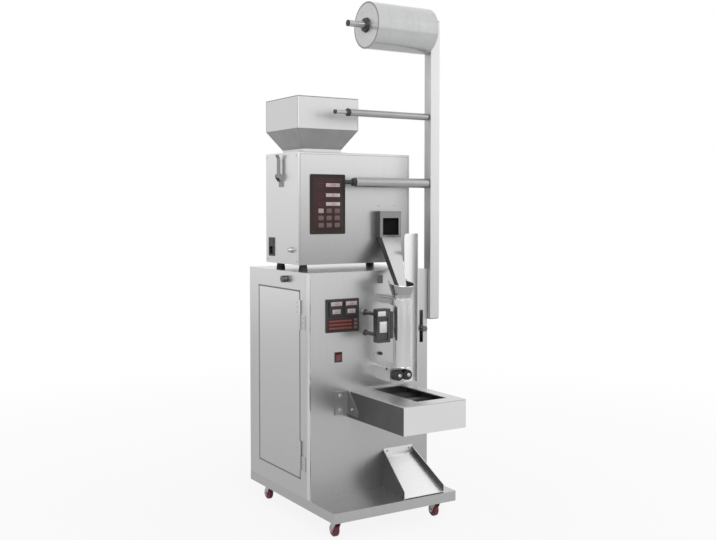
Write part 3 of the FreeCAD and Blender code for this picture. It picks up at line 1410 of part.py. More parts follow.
def build_jaws():
    """Two guide rods along the trough, and the two serrated jaws that close on them."""
    rod_z = s.trough_bottom + s.rod_rise
    rods = []
    for x in rod_places():
        rods.append(bar("jaw_rod", "y", left + s.trough_left + x,
                        front - s.trough_reach + s.trough_wall, rod_z, s.rod_radius,
                        s.trough_reach - s.trough_wall + s.sheet * 2))
    group("jaw_rods", rods)

    middle_x = left + s.trough_left + s.trough_width / 2
    for name, facing in (("front_jaw", 1), ("rear_jaw", -1)):
        body = new_body(name, middle_x, front - s.former_y, rod_z)
        rest = s.jaw_open + s.jaw_closed_gap
        near = rest + s.seal_face_reach
        plan_near = -facing * near
        plan_far = -facing * (near + s.jaw_thickness)
        low = plan_far if facing > 0 else plan_near
        carrier = rectangle(draw(body, "XY_Plane", -s.jaw_drop), -s.jaw_width / 2, low,
                            s.jaw_width, s.jaw_thickness)
        pad(body, carrier, s.jaw_height)
        soften(body, s.sheet * 1.5, lambda edge: along(edge, "z"))
        spread = s.former_x - s.trough_left - s.trough_width / 2
        pad(body, serrated_face(body, spread, -facing * rest, plan_near, facing),
            s.seal_face_width)
        holes = draw(body, "XZ_Plane", -low)
        for x in rod_places():
            circle(holes, x - s.trough_width / 2, 0, s.rod_radius + s.running_gap)
        cut(body, holes, s.jaw_thickness)
        if facing < 0:
            reach = s.drive_back - s.cam_radius - s.cam_offset - s.push_rod_clearance
            push = circle(draw(body, "XZ_Plane", -plan_far), spread, s.drive_height - rod_z,
                          s.push_rod_radius)
            pad(body, push, s.former_y + reach - plan_far, reverse=True)


def serrated_face(body, spread, tip, root, facing):
    """Side outline of a sealing bar whose face has fine horizontal teeth."""
    bottom = s.seal_face_rise - s.seal_face_height / 2
    teeth = round((s.seal_face_height / s.serration_pitch).value)
    points = [(root - facing * 1, bottom), (tip, bottom)]
    for number in range(teeth):
        z = bottom + number * s.serration_pitch
        points.append((tip - facing * s.serration_depth, z + s.serration_pitch / 2))
        points.append((tip, z + s.serration_pitch))
    points.append((root - facing * 1, bottom + s.seal_face_height))
    return polygon(draw(body, "YZ_Plane", spread - s.seal_face_width / 2), points)


def build_outlet_slide():
    """Widening sheet slide from the face to the tray's edge, between upright cheeks."""
    body = new_body("outlet_slide", left + s.slide_left + s.slide_top_width / 2, front,
                    tray_top)
    thick = s.sheet

    def channel(sketch, width, floor):
        half = width / 2
        return polygon(sketch, [
            (-half, 0), (thick - half, 0), (thick - half, floor), (half - thick, floor),
            (half - thick, 0), (half, 0), (half, floor + s.slide_side),
            (half - thick, floor + s.slide_side), (half - thick, floor + thick),
            (thick - half, floor + thick), (thick - half, floor + s.slide_side),
            (-half, floor + s.slide_side)])

    top_rise = s.slide_top - tray_top
    upper = channel(draw(body, "XZ_Plane"), s.slide_top_width, top_rise)
    lower = channel(draw(body, "XZ_Plane", s.slide_reach), s.slide_bottom_width, s.slide_foot)
    loft(body, upper, lower)
    lip = rectangle(draw(body, "XZ_Plane"), -s.slide_top_width / 2, top_rise,
                    s.slide_top_width, s.slide_flange)
    pad(body, lip, thick)


def build_sensor_slide():
    """Knob, neck and inner plate of the film sensor's height adjuster."""
    middle = s.sensor_slot_left + s.sensor_slot_width / 2
    body = new_body("sensor_slide", left + middle, front,
                    tray_top + sensor_slot_rise + s.sensor_start)
    washer = 2
    gap = s.swivel_gap
    reach = s.sensor_knob_reach
    shape = [(0, s.sheet + gap + washer), (s.sensor_knob_radius, s.sheet + gap + washer),
             (s.sensor_knob_radius, s.sheet + gap), (s.sensor_neck, s.sheet + gap),
             (s.sensor_neck, -gap), (s.sensor_knob_radius, -gap),
             (s.sensor_knob_radius, -gap - washer), (s.sensor_neck, -gap - washer),
             (s.sensor_neck, s.sensor_grip - reach), (s.sensor_knob_radius, s.sensor_grip - reach),
             (s.sensor_knob_radius, -reach), (0, -reach)]
    revolve(body, polygon(draw(body, "XY_Plane"), shape), "V_Axis")


def build_drive():
    """Gear motor on a stand with an outboard bearing, and the camshaft between them."""
    x = left + s.drive_left
    y = front + s.drive_back
    stand = new_body("drive_motor", x, y, tray_top)
    rise = s.drive_height - tray_top
    half_depth = s.gearbox_depth / 2
    foot = rectangle(draw(stand, "XY_Plane"), 0, -half_depth, s.stand_width, s.gearbox_depth)
    pad(stand, foot, s.stand_thickness)
    column = rectangle(draw(stand, "XY_Plane"), 0, -half_depth * 0.7, s.gearbox_width,
                       s.gearbox_depth * 0.7)
    pad(stand, column, rise)
    half_height = s.gearbox_height / 2
    gearbox = rectangle(draw(stand, "YZ_Plane"), -half_depth, rise - half_height,
                        s.gearbox_depth, s.gearbox_height)
    pad(stand, gearbox, s.gearbox_width)
    motor = circle(draw(stand, "XZ_Plane", -half_depth), s.gearbox_width / 2, rise,
                   s.motor_radius - 2)
    pad(stand, motor, s.motor_length, reverse=True)
    outboard = s.stand_width - s.pedestal_width
    pedestal = [(-half_depth * 0.5, 0), (half_depth * 0.5, 0),
                (s.camshaft_radius * 2, rise + s.camshaft_radius * 2),
                (-s.camshaft_radius * 2, rise + s.camshaft_radius * 2)]
    pad(stand, polygon(draw(stand, "YZ_Plane", outboard), pedestal), s.pedestal_width)
    bore_start = s.gearbox_width / 2
    bore = circle(draw(stand, "YZ_Plane", bore_start), 0, rise,
                  s.camshaft_radius + s.running_gap)
    cut(stand, bore, s.stand_width, reverse=True)

    cams = new_body("camshaft", x, y, s.drive_height)
    shaft = circle(draw(cams, "YZ_Plane", bore_start + 1), 0, 0, s.camshaft_radius)
    pad(cams, shaft, s.stand_width - bore_start + 4)
    for number, turn in ((0, 1), (1, -1)):
        start = s.former_x - s.drive_left - s.cam_width / 2 - number * s.cam_spacing
        profile = circle(draw(cams, "YZ_Plane", start), turn * s.cam_offset, 0, s.cam_radius)
        pad(cams, profile, s.cam_width)


build_base_tray()
build_casters()
build_cabinet()
build_rear_cover()
build_side_door()
build_turn_latch()
build_control_panel()
build_controllers()
build_rocker()
build_weigher_housing()
build_housing_feet()
build_weigher_keypad()
build_power_inlet()
build_cable_gland()
build_discharge_hood()
build_feed_chute()
build_hopper()
build_toggle_latch()
build_weigh_bucket()
build_feeder()
build_mast()
build_mast_brackets()
build_film_roll()
build_rollers()
build_former()
build_back_seal()
build_pull_wheels()
build_seal_trough()
build_jaws()
build_outlet_slide()
build_sensor_slide()
build_drive()
doc.recompute()


# Checks before anything is written
def check_document():
    problems = []
    for thing in doc.Objects:
        if "Invalid" in thing.State or "Error" in thing.State:
            problems.append(f"{thing.Label}: {thing.State}")
        base = getattr(thing, "BaseFeature", None)
        removing = thing.TypeId in ("PartDesign::Pocket", "PartDesign::SubtractiveWedge")
        if removing and base and thing.Shape.Volume > base.Shape.Volume - 0.01:
            problems.append(f"{thing.Label} in {base.Label}: cuts nothing")
    for node in NODES:
        shape = node.Shape
        if shape.isNull() or not shape.isValid() or not shape.Solids:
            problems.append(f"{node.Label}: no valid solid")
    if problems:
        raise RuntimeError("\n".join(problems))


check_document()
os.makedirs("parts", exist_ok=True)
for node in NODES:
    node.Shape.exportStep(f"parts/{node.Label}.step")
    print(node.Label, len(node.Shape.Solids), "solid(s)")
print(len(NODES), "nodes")
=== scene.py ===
# %% [markdown]
# Dressing a powder filling machine.
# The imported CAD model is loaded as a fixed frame, and this script only gives it finishes and
# the small parts that a maker adds last: key fields, displays, screws, seams, seals and caps.
# Every length below is in metres, in the same frame as the CAD.

# %% Load the frame
import json
import math

import bmesh
import bpy
import numpy as np
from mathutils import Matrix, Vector


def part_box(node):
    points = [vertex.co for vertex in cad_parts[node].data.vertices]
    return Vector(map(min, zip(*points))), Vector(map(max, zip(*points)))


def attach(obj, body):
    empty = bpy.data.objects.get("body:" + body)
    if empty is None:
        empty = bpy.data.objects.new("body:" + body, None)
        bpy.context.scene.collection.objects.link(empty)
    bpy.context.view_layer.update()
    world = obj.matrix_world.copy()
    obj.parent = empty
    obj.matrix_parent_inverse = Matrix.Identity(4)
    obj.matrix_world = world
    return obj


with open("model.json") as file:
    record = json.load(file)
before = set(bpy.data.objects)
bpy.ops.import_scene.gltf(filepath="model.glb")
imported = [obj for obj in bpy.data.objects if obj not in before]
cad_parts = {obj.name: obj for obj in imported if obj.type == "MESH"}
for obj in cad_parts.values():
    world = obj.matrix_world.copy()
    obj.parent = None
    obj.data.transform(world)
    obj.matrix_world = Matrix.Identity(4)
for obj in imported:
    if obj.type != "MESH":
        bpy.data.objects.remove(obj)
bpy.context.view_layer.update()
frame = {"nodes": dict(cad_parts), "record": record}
nodes = frame["nodes"]
record = frame["record"]

# %% [markdown]
# The camera comes first, so that each later piece can be judged from where the photograph was
# taken. A lens fitted to the cabinet's corners gave its place. It looks down by only two and a
# half degrees, and a small shift does the rest of the framing, so upright edges stay upright.


# %% Camera
def put(name, data):
    """A new object with that data, in the scene."""
    made = bpy.data.objects.new(name, data)
    bpy.context.scene.collection.objects.link(made)
    return made


EYE = (-1.6362, -2.6106, 0.9903)
LOOK = Vector((0.52574, 0.84954, -0.04337))
LENS_MM = 48.2
FRAME_SHIFT = -0.0285
camera_data = bpy.data.cameras.new("camera")
camera_data.lens = LENS_MM
camera_data.shift_y = FRAME_SHIFT
camera = put("camera", camera_data)
camera.location = EYE
camera.rotation_euler = LOOK.to_track_quat("-Z", "Y").to_euler()
bpy.context.scene.camera = camera
print("camera height:", EYE[2])

# %% [markdown]
# Shader maths reads best as sums and products. The class below wraps one output of a node, so
# that an expression such as 0.3 + 0.1 * cloud adds the Math nodes it stands for. Every other
# node comes from Finish.add, which takes its type, what goes into it, the output that is
# wanted and its settings.


# %% Shader expressions
def reckoned(operation):
    """The method of a wire that adds a Math node with the wire first and the rest after it."""
    return lambda wire, *others: wire.maths(operation, wire, *others)


class Wire:
    """One output of a node, used in Python arithmetic."""

    def __init__(self, finish, socket):
        self.finish = finish
        self.socket = socket

    def maths(self, operation, *values):
        return self.finish.add("Math", dict(enumerate(values)), operation=operation)

    def __rsub__(self, other):
        return self.maths("SUBTRACT", other, self)

    __add__ = __radd__ = reckoned("ADD")
    __mul__ = __rmul__ = reckoned("MULTIPLY")
    __sub__ = reckoned("SUBTRACT")
    __gt__ = reckoned("GREATER_THAN")
    __abs__ = reckoned("ABSOLUTE")
    larger = reckoned("MAXIMUM")
    sine = reckoned("SINE")
    root = reckoned("SQRT")


class Finish:
    """One material, with its Principled shader and the nodes that feed it."""

    def __init__(self, name):
        self.material = bpy.data.materials.new(name)
        self.material.use_nodes = True
        self.tree = self.material.node_tree
        self.shader = self.tree.nodes["Principled BSDF"]

    def add(self, kind, sockets=None, output=0, **settings):
        node = self.tree.nodes.new("ShaderNode" + kind)
        for key, value in settings.items():
            setattr(node, key, value)
        for key, value in (sockets or {}).items():
            self.plug(node.inputs[key], value)
        return Wire(self, node.outputs[output])

    def plug(self, target, value):
        if isinstance(value, Wire):
            self.tree.links.new(value.socket, target)
        else:
            target.default_value = value

    def feed(self, **inputs):
        """Sets the shader's sockets, with an underscore for each space in their names."""
        for key, value in inputs.items():
            self.plug(self.shader.inputs[key.replace("_", " ")], value)

    def place(self, axis):
        """A point's coordinate along X, Y or Z."""
        point = self.add("TexCoord", output="Object")
        return self.add("SeparateXYZ", {0: point}, axis)

    def facing(self, axis):
        """How far a face looks along X, Y or Z, from -1 to 1."""
        normal = self.add("NewGeometry", output="Normal")
        return self.add("SeparateXYZ", {0: normal}, axis)

    def coordinates(self, scale=(1.0, 1.0, 1.0)):
        point = self.add("TexCoord", output="Object")
        return self.add("Mapping", {"Vector": point, "Scale": scale})

    def noise(self, scale, detail=2.0, stretch=(1.0, 1.0, 1.0)):
        return self.add("TexNoise", {
            "Vector": self.coordinates(stretch), "Scale": scale, "Detail": detail})

    def mix(self, factor, first, second):
        """Inputs 6 and 7 of a Mix node are its two colours, and output 2 is their mixture."""
        return self.add("Mix", {0: factor, 6: first, 7: second}, 2, data_type="RGBA")

    def bump(self, height, distance, strength=1.0):
        normal = self.add("Bump", {
            "Height": height, "Distance": distance, "Strength": strength})
        self.feed(Normal=normal)


def grey(value, tint=(1.0, 1.0, 1.0)):
    return (*(value * part for part in tint), 1.0)


print("middle grey:", grey(0.5))

# %% [markdown]
# Most of the machine is satin stainless sheet. Its grain is rolled in one direction, so the
# pattern is noise stretched a hundredfold along that direction: upright on the walls and from
# side to side on level faces. The grain moves the roughness a little, and a slow cloud over it
# stands for the faint wipe marks of cleaning.


# %% Stainless sheet
SQUARELY = 0.7
SHEET_GRAIN = 420.0
GRAIN_STRETCH = 0.012


def upright_grain(finish, fineness=SHEET_GRAIN):
    """Noise lines along Z on walls, and along X where the face looks up or down."""
    level = abs(finish.facing("Z")) > SQUARELY
    wall = finish.noise(fineness, 3.0, (1.0, 1.0, GRAIN_STRETCH))
    top = finish.noise(fineness, 3.0, (GRAIN_STRETCH, 1.0, 1.0))
    return wall + level * (top - wall)


def stainless_sheet(name, tone, roughness, grain=SHEET_GRAIN, cloudiness=0.05):
    finish = Finish(name)
    lines = upright_grain(finish, grain)
    cloud = finish.noise(4.5, 3.0)
    smear = finish.noise(17.0, 4.0, (1.0, 1.0, 0.35))
    shade = finish.mix(cloud * 0.6 + lines * 0.4, grey(tone * 0.93), grey(tone * 1.05))
    finish.feed(Base_Color=shade, Metallic=0.92,
                Roughness=roughness - 0.06 + 0.12 * lines + cloudiness * (smear - 0.5))
    finish.bump(lines, 0.00012, 0.5)
    return finish.material


finishes = {
    "stainless": stainless_sheet("satin_stainless", 0.62, 0.30),
    "polished": stainless_sheet("polished_stainless", 0.70, 0.14, 700.0, 0.08),
}
print("sheet finishes:", sorted(finishes))

# %% [markdown]
# On the folded fittings in front, the side walls and the backs carry painted shade: the material
# asks how far a face is turned to the side or to the back and mixes in a darker tone there, as
# if those faces lay in shadow. On the hopper the painted shade is on the slope below, which
# looks down.


# %% Folded sheet with painted shade on its sides
SIDEWAYS = 0.6
TILTED = 0.35


def turned_away(finish):
    """1 where a face looks to the left, the right or the back, and 0 elsewhere."""
    side = abs(finish.facing("X")) > SIDEWAYS
    return side.larger(finish.facing("Y") > TILTED)


def looking_down(finish):
    """1 where a face looks more than about 20 degrees below level."""
    return 0 - finish.facing("Z") > TILTED


def folded_sheet(name, tone, shade_tone, roughness, shaded=turned_away):
    finish = Finish(name)
    lines = upright_grain(finish)
    side = shaded(finish)
    stain = finish.noise(11.0, 4.0)
    ground = finish.mix(lines * 0.5 + stain * 0.5, grey(tone * 0.94), grey(tone * 1.04))
    # painted shade: a darker tone on faces turned to the side, to the back or down
    painted_shade = finish.mix(stain, grey(shade_tone * 0.8), grey(shade_tone * 1.25))
    finish.feed(Base_Color=finish.mix(side, ground, painted_shade), Metallic=0.9,
                Roughness=roughness + 0.1 * lines + 0.08 * side)
    finish.bump(lines, 0.0001, 0.5)
    return finish.material


# The second tone of each folded sheet is its painted shade.
own_finish = {
    "base_tray": stainless_sheet("tray_sheet", 0.52, 0.30),
    "seal_trough": folded_sheet("folded_trough", 0.80, 0.12, 0.30),
    "outlet_slide": folded_sheet("folded_slide", 0.90, 0.11, 0.24),
    "feed_chute": folded_sheet("folded_chute", 0.66, 0.06, 0.18),
    "discharge_hood": folded_sheet("folded_hood", 0.25, 0.10, 0.30),
    "corner_bracket": folded_sheet("folded_bracket", 0.42, 0.22, 0.34),
    "film_guide_plate": folded_sheet("folded_guide", 0.88, 0.34, 0.34),
    "mast": folded_sheet("mast_tube", 0.62, 0.54, 0.32),
    "hopper": folded_sheet("hopper_sheet", 0.64, 0.40, 0.30, looking_down),
}
print("nodes of folded sheet:", sorted(own_finish))

# %% [markdown]
# The large boxes carry painted shade: their tone falls towards the foot, as a painted reflection
# of a bright room that is not built here, and it falls by more on the front of the weigher
# housing than anywhere else. The fronts of the housing and the cabinet also get a darker pair of
# tones than their sides, as painted shade.


# %% Sheet that fades towards its foot
def fading_sheet(name, node, sides, front):
    """Sides and front are pairs of tones, at the top and at the foot:
    tone = top + (foot - top) * fall, with fall = (high - z) / (high - low)."""
    finish = Finish(name)
    low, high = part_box(node)
    lines, cloud = upright_grain(finish), finish.noise(4.5, 3.0)
    ahead = 0 - finish.facing("Y") > SQUARELY
    # painted shade: the tone falls with the height, and faces looking ahead take the front pair
    fall = (high.z - finish.place("Z")) * (1 / (high.z - low.z))
    beside = fall * (sides[1] - sides[0]) + sides[0]
    before = fall * (front[1] - front[0]) + front[0]
    tone = (beside + (before - beside) * ahead) * (0.94 + 0.066 * cloud + 0.044 * lines)
    finish.feed(Base_Color=finish.mix(tone, grey(0.0), grey(1.0)), Metallic=0.92,
                Roughness=0.24 + 0.12 * lines)
    finish.bump(lines, 0.00012, 0.5)
    return finish.material


for name, node, sides, front in (
        ("housing_sheet", "weigher_housing", (0.74, 0.60), (0.69, 0.37)),
        ("cabinet_sheet", "cabinet_shell", (0.68, 0.57), (0.61, 0.48)),
        ("door_sheet", "side_door", (0.73, 0.57), (0.73, 0.57))):
    own_finish[node] = fading_sheet(name, node, sides, front)
print("nodes with a sheet of their own:", len(own_finish))

# %% [markdown]
# Plated and turned metals differ from the sheet in how their marks lie. Zinc plating has a
# fine crystal mottle, turned shafts carry rings round their axis, and machined aluminium is
# paler and softer with short cutter marks.


# %% Plated, turned and machined metal
def zinc_plate():
    finish = Finish("zinc_plate")
    crystals = finish.add("TexVoronoi", {
        "Vector": finish.coordinates(), "Scale": 260.0})
    shade = finish.mix(crystals, grey(0.42), grey(0.62, (0.98, 0.99, 1.0)))
    finish.feed(Base_Color=shade, Metallic=0.95, Roughness=0.34 + 0.16 * crystals)
    return finish.material


def turned_metal(name, tone, roughness):
    """Rings across the X axis, as a lathe tool leaves them."""
    finish = Finish(name)
    rings = finish.noise(900.0, 2.0, (1.0, 0.02, 0.02))
    patches = finish.noise(24.0, 3.0)
    shade = finish.mix(rings * 0.5 + patches * 0.5, grey(tone * 0.86), grey(tone * 1.08))
    finish.feed(Base_Color=shade, Metallic=0.95, Roughness=roughness + 0.14 * rings)
    finish.bump(rings, 0.00008, 0.4)
    return finish.material


def machined_metal(name, tone, roughness):
    finish = Finish(name)
    marks = finish.noise(520.0, 3.0, (0.05, 1.0, 1.0))
    stains = finish.noise(30.0, 3.0)
    shade = finish.mix(stains, grey(tone * 0.9), grey(tone * 1.06))
    finish.feed(Base_Color=shade, Metallic=0.9, Roughness=roughness + 0.12 * marks)
    finish.bump(marks, 0.0001, 0.4)
    return finish.material


finishes["zinc"] = zinc_plate()
finishes["steel"] = turned_metal("turned_steel", 0.52, 0.22)
finishes["aluminium"] = machined_metal("machined_aluminium", 0.66, 0.36)
print("metal finishes:", len(finishes))

# %% [markdown]
# Black plastic, rubber and coated metal are all dark, and are told apart by their surface:
# moulded plastic has an even fine grain, rubber is duller with a slight bloom of dust, and a
# powder coat has a soft orange peel under a low gloss.


# %% Plastics, rubber and paint
def moulded(name, colour, roughness, grain=1400.0, depth=0.00006, coat=0.0, shine=0.5):
    """The dust is the colour made a little paler: 1.12 times as bright, plus 0.01."""
    finish = Finish(name)
    pebbles = finish.noise(grain, 2.0)
    dust = finish.noise(38.0, 4.0)
    dusty = tuple(min(1.0, c * 1.12 + 0.01) for c in colour)
    shade = finish.mix(dust, (*colour, 1.0), (*dusty, 1.0))
    finish.feed(Base_Color=shade, Roughness=roughness - 0.05 + 0.1 * dust + 0.06 * pebbles,
                Coat_Weight=coat, Specular_IOR_Level=shine)
    finish.bump(pebbles, depth, 0.5)
    return finish.material


finishes["black_plastic"] = moulded("black_moulding", (0.022, 0.022, 0.024), 0.42)
finishes["black_rubber"] = moulded("black_rubber", (0.026, 0.026, 0.028), 0.68, 700.0, 0.00012)
finishes["black_metal"] = moulded("black_powder_coat", (0.035, 0.035, 0.038), 0.4, 420.0,
                                  0.00015, 0.2)
finishes["motor_paint"] = moulded("machine_paint", (0.13, 0.17, 0.2), 0.38, 380.0, 0.00012, 0.3)
finishes["red_wheel"] = moulded("red_wheel_casting", (0.15, 0.007, 0.02), 0.4, 900.0,
                                0.00008, 0.15)
finishes["red_rocker"] = moulded("red_rocker_lens", (0.15, 0.014, 0.02), 0.2, 1500.0,
                                 0.00003, 0.6)
finishes["instrument"] = moulded("instrument_front", (0.03, 0.027, 0.03), 0.4, shine=0.3)
finishes["panel_film"] = moulded("printed_membrane", (0.016, 0.013, 0.013), 0.42, 1800.0,
                                 0.00003, shine=0.25)
print("finishes so far:", len(finishes))

# %% [markdown]
# The reel is hundreds of turns of clear film. Looked at from the side it is milky, with the
# turns showing as fine rings on its ends, so the ring pattern is a sine of the distance from
# the spindle, broken up by noise. The paper tube inside is brown, with a fibrous grain.

# %% Wound film and paper core
reel_low, reel_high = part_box("film_roll")
reel_axis = (reel_low + reel_high) / 2


def radius_from(finish, centre):
    """Distance of a point from the line along X through the centre."""
    along_y, along_z = finish.place("Y") - centre.y, finish.place("Z") - centre.z
    return (along_y * along_y + along_z * along_z).root()


def wound_film():
    finish = Finish("wound_film")
    distance = radius_from(finish, reel_axis)
    haze = finish.noise(55.0, 3.0)
    wobble = finish.noise(9.0, 2.0, (1.0, 0.3, 0.3))
    turns = (distance * 3600.0 + haze * 5.0).sine() * 0.5 + 0.5
    outermost = distance > (reel_high.z - reel_low.z) * 0.46
    bands = finish.noise(60.0, 2.0, (1.0, 0.02, 0.02))
    end = abs(finish.facing("X")) > SQUARELY
    skin = finish.mix(haze * 0.4 + bands * 0.6, grey(0.46, (0.98, 1.0, 1.0)), grey(0.66))
    edges = finish.mix(turns * 0.6 + haze * 0.4, grey(0.42), grey(0.80))
    edges = finish.mix(outermost, edges, grey(0.28))
    finish.feed(Base_Color=finish.mix(end, skin, edges), Roughness=0.14 + 0.14 * haze,
                Metallic=0.5, Coat_Weight=0.4, Coat_Roughness=0.1)
    finish.bump(turns * 0.4 + wobble * 2.0, 0.0004, 0.5)
    return finish.material


def paper_tube():
    finish = Finish("paper_tube")
    fibres = finish.noise(320.0, 4.0)
    shade = finish.mix(fibres, (0.42, 0.31, 0.2, 1.0), (0.6, 0.48, 0.34, 1.0))
    finish.feed(Base_Color=shade, Roughness=0.78 + 0.12 * fibres)
    finish.bump(fibres, 0.0001, 0.5)
    return finish.material


finishes["film"] = wound_film()
finishes["paper_core"] = paper_tube()
print("reel axis:", [round(v, 4) for v in reel_axis])

# %% [markdown]
# The record says which slot each node takes its finish from. Some nodes have a finish of their
# own: the sheets above, and a few plated or drawn parts whose tone differs from their slot's. A
# node's mesh is never touched: its material list is emptied and gets the one finish.

# %% Finishes on the CAD nodes
finishes["gunmetal"] = turned_metal("dark_plated_metal", 0.15, 0.36)
finishes["hasp_steel"] = turned_metal("dull_hasp_steel", 0.28, 0.36)
finishes["roller_tube"] = turned_metal("drawn_roller_tube", 0.42, 0.24)
finishes["shoulder"] = stainless_sheet("bright_shoulder", 0.40, 0.16, 700.0, 0.08)
for name, finish in (("turn_latch", "gunmetal"), ("cable_gland", "zinc"),
                     ("sensor_slide", "gunmetal"), ("latch_base", "hasp_steel"),
                     ("latch_lever", "hasp_steel"), ("upper_roller", "roller_tube"),
                     ("lower_roller", "roller_tube"), ("forming_collar", "shoulder")):
    own_finish[name] = finishes[finish]
slot_of = {row["node"]: row["material_slot"] for row in record["subparts"]}
for name, node in nodes.items():
    node.data.materials.clear()
    node.data.materials.append(own_finish.get(name, finishes[slot_of[name]]))
print("nodes with a finish:", len(slot_of))

# %% [markdown]
# Small parts are made as rings: an array with one row for each ring and the same number of
# points in each. Neighbouring rings are joined by four-sided faces, and a ring whose points
# all coincide closes an end. This one idea makes screws, keys, knobs, beads and films, and the
# whole skin is worked out at once, without a loop over its points.


# %% From rings to a piece
SIDES = {
    "front": ((1, 0, 0), (0, 0, 1), (0, -1, 0)),
    "back": ((-1, 0, 0), (0, 0, 1), (0, 1, 0)),
    "left": ((0, -1, 0), (0, 0, 1), (-1, 0, 0)),
    "right": ((0, 1, 0), (0, 0, 1), (1, 0, 0)),
    "up": ((1, 0, 0), (0, 1, 0), (0, 0, 1)),
    "down": ((1, 0, 0), (0, -1, 0), (0, 0, -1)),
}
WELD_DISTANCE = 1e-6
SHARP_ANGLE = math.radians(35)


def box_of(node):
    """A node's lowest and highest corner, as arrays that can be reckoned with."""
    return [np.array(corner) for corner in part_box(node)]


def ring_faces(rings, steps):
    """Point j of ring i is joined to point j + 1 and to the same two points of ring i + 1; the
    last point of a ring is followed by its first."""
    row = np.arange(rings - 1)[:, None] * steps
    here = np.arange(steps)[None, :]
    after = (here + 1) % steps
    corners = (row + here, row + after, row + after + steps, row + here + steps)
    return np.stack(corners, axis=-1).reshape(-1, 4)


def piece(name, skins, finish, body="machine", smooth=True):
    """One object from a list of ring arrays, welded, facing outwards, with its finish."""
    points, faces, start = [], [], 0
    for skin in skins:
        rings, steps, _ = skin.shape
        points.append(skin.reshape(-1, 3))
        faces.append(ring_faces(rings, steps) + start)
        start += rings * steps
    mesh = bpy.data.meshes.new(name)
    mesh.from_pydata(np.concatenate(points).tolist(), [], np.concatenate(faces).tolist())
    solid = bmesh.new()
    solid.from_mesh(mesh)
    bmesh.ops.remove_doubles(solid, verts=solid.verts, dist=WELD_DISTANCE)
    bmesh.ops.recalc_face_normals(solid, faces=solid.faces)
    solid.to_mesh(mesh)
    solid.free()
    if smooth:
        mesh.shade_smooth()
        mesh.set_sharp_from_angle(angle=SHARP_ANGLE)
    mesh.materials.append(finishes[finish])
    made = put(name, mesh)
    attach(made, body)
    return made


def seat(skin, place, facing):
    """Local across, up and out become the directions of that side, then the skin is moved."""
    return np.asarray(place) + skin @ np.array(SIDES[facing], float)


def touch(node, place, facing, reach=1.0):
    """The first point of the node on a line drawn in through the place from outside."""
    out = Vector(SIDES[facing][2])
    hit, spot, _, _ = nodes[node].ray_cast(Vector(place) + out * reach, -out)
    assert hit, (node, place)
    return np.array(spot)


print("sides:", sorted(SIDES))

# %% [markdown]
# Two shapes cover most fittings. A tile is a slab with round corners and a softened front
# edge, for keys, windows and pads. A turned skin is a profile carried round an axis; a ring
# may be pulled to a hexagon, which makes the socket of a screw or the flats of a nut. A rod
# follows a path, for beads and rolled edges.


# %% Tiles, turned skins and rods
def tile(width, height, depth, corner, edge=0.0004):
    """Four quarter circles, each centred one corner radius inside a rectangle, make a ring.
    The rings run from the middle of the back, up the side, over the edge to the middle."""
    turn = np.linspace(0, math.pi / 2, 5)[None, :] + np.arange(4)[:, None] * math.pi / 2
    side_x = np.array([1, -1, -1, 1])[:, None] * (width / 2 - corner)
    side_y = np.array([1, 1, -1, -1])[:, None] * (height / 2 - corner)
    inset = np.array([0, 0, edge * 0.3, edge])[:, None, None]
    level = np.array([0, depth - edge, depth - edge * 0.3, depth])[:, None, None]
    across = side_x + (corner - inset) * np.cos(turn)
    upward = side_y + (corner - inset) * np.sin(turn)
    skin = np.stack([across, upward, level + 0 * across], axis=-1).reshape(4, -1, 3)
    middle = np.zeros((1, skin.shape[1], 3))
    return np.concatenate([middle, skin, middle + (0, 0, depth)])


def turned(profile, steps=20):
    """Each row of the profile is a level, a radius and a 1 where the ring is a hexagon, whose
    radius is its corner radius times cos 30 over the cosine of the angle from the middle of
    the nearest flat."""
    rows = np.array([(*row, 0)[:3] for row in profile], float)
    level, radius, flat = rows.T[:, :, None]
    turn = np.arange(steps)[None, :] * 2 * math.pi / steps
    hexagon = math.cos(math.pi / 6) / np.cos(turn % (math.pi / 3) - math.pi / 6)
    radius = radius * (1 + flat * (hexagon - 1))
    return np.stack([radius * np.cos(turn), radius * np.sin(turn), level + 0 * turn], axis=-1)


def rod(path, radius, steps=8, swell=0.0):
    """A round section carried along a path. At each point the section stands square to the
    way ahead, and swell makes every second ring that much thicker, as in a weld bead."""
    path = np.asarray(path, float)
    ahead = np.gradient(path, axis=0)
    ahead /= np.linalg.norm(ahead, axis=1)[:, None]
    helper = np.where(np.abs(ahead[:, 2:]) > 0.9, [[1.0, 0, 0]], [[0, 0, 1.0]])
    across = np.cross(ahead, helper)
    across /= np.linalg.norm(across, axis=1)[:, None]
    upward = np.cross(across, ahead)
    turn = np.arange(steps) * 2 * math.pi / steps
    size = radius * (1 + swell * (np.arange(len(path)) % 2))[:, None, None]
    ring = across[:, None] * np.cos(turn)[:, None] + upward[:, None] * np.sin(turn)[:, None]
    skin = path[:, None] + size * ring
    ends = [np.repeat(path[i][None, None], steps, axis=1) for i in (0, -1)]
    return np.concatenate([ends[0], skin, ends[1]])


def pads(name, finish, size, places, facing="front", body="machine"):
    """One piece from equal tiles, each seated at one of the places."""
    return piece(name, [seat(tile(*size), place, facing) for place in places], finish, body)


print("tile rings:", tile(0.01, 0.01, 0.001, 0.001).shape)

# %% [markdown]
# The weigher's keypad is a printed membrane under a dark border: three display windows with
# their labels on the left, and nine keys below. The membrane is flat, so its keys are low pads
# with soft edges. Each place is a share of the keypad's width and height.

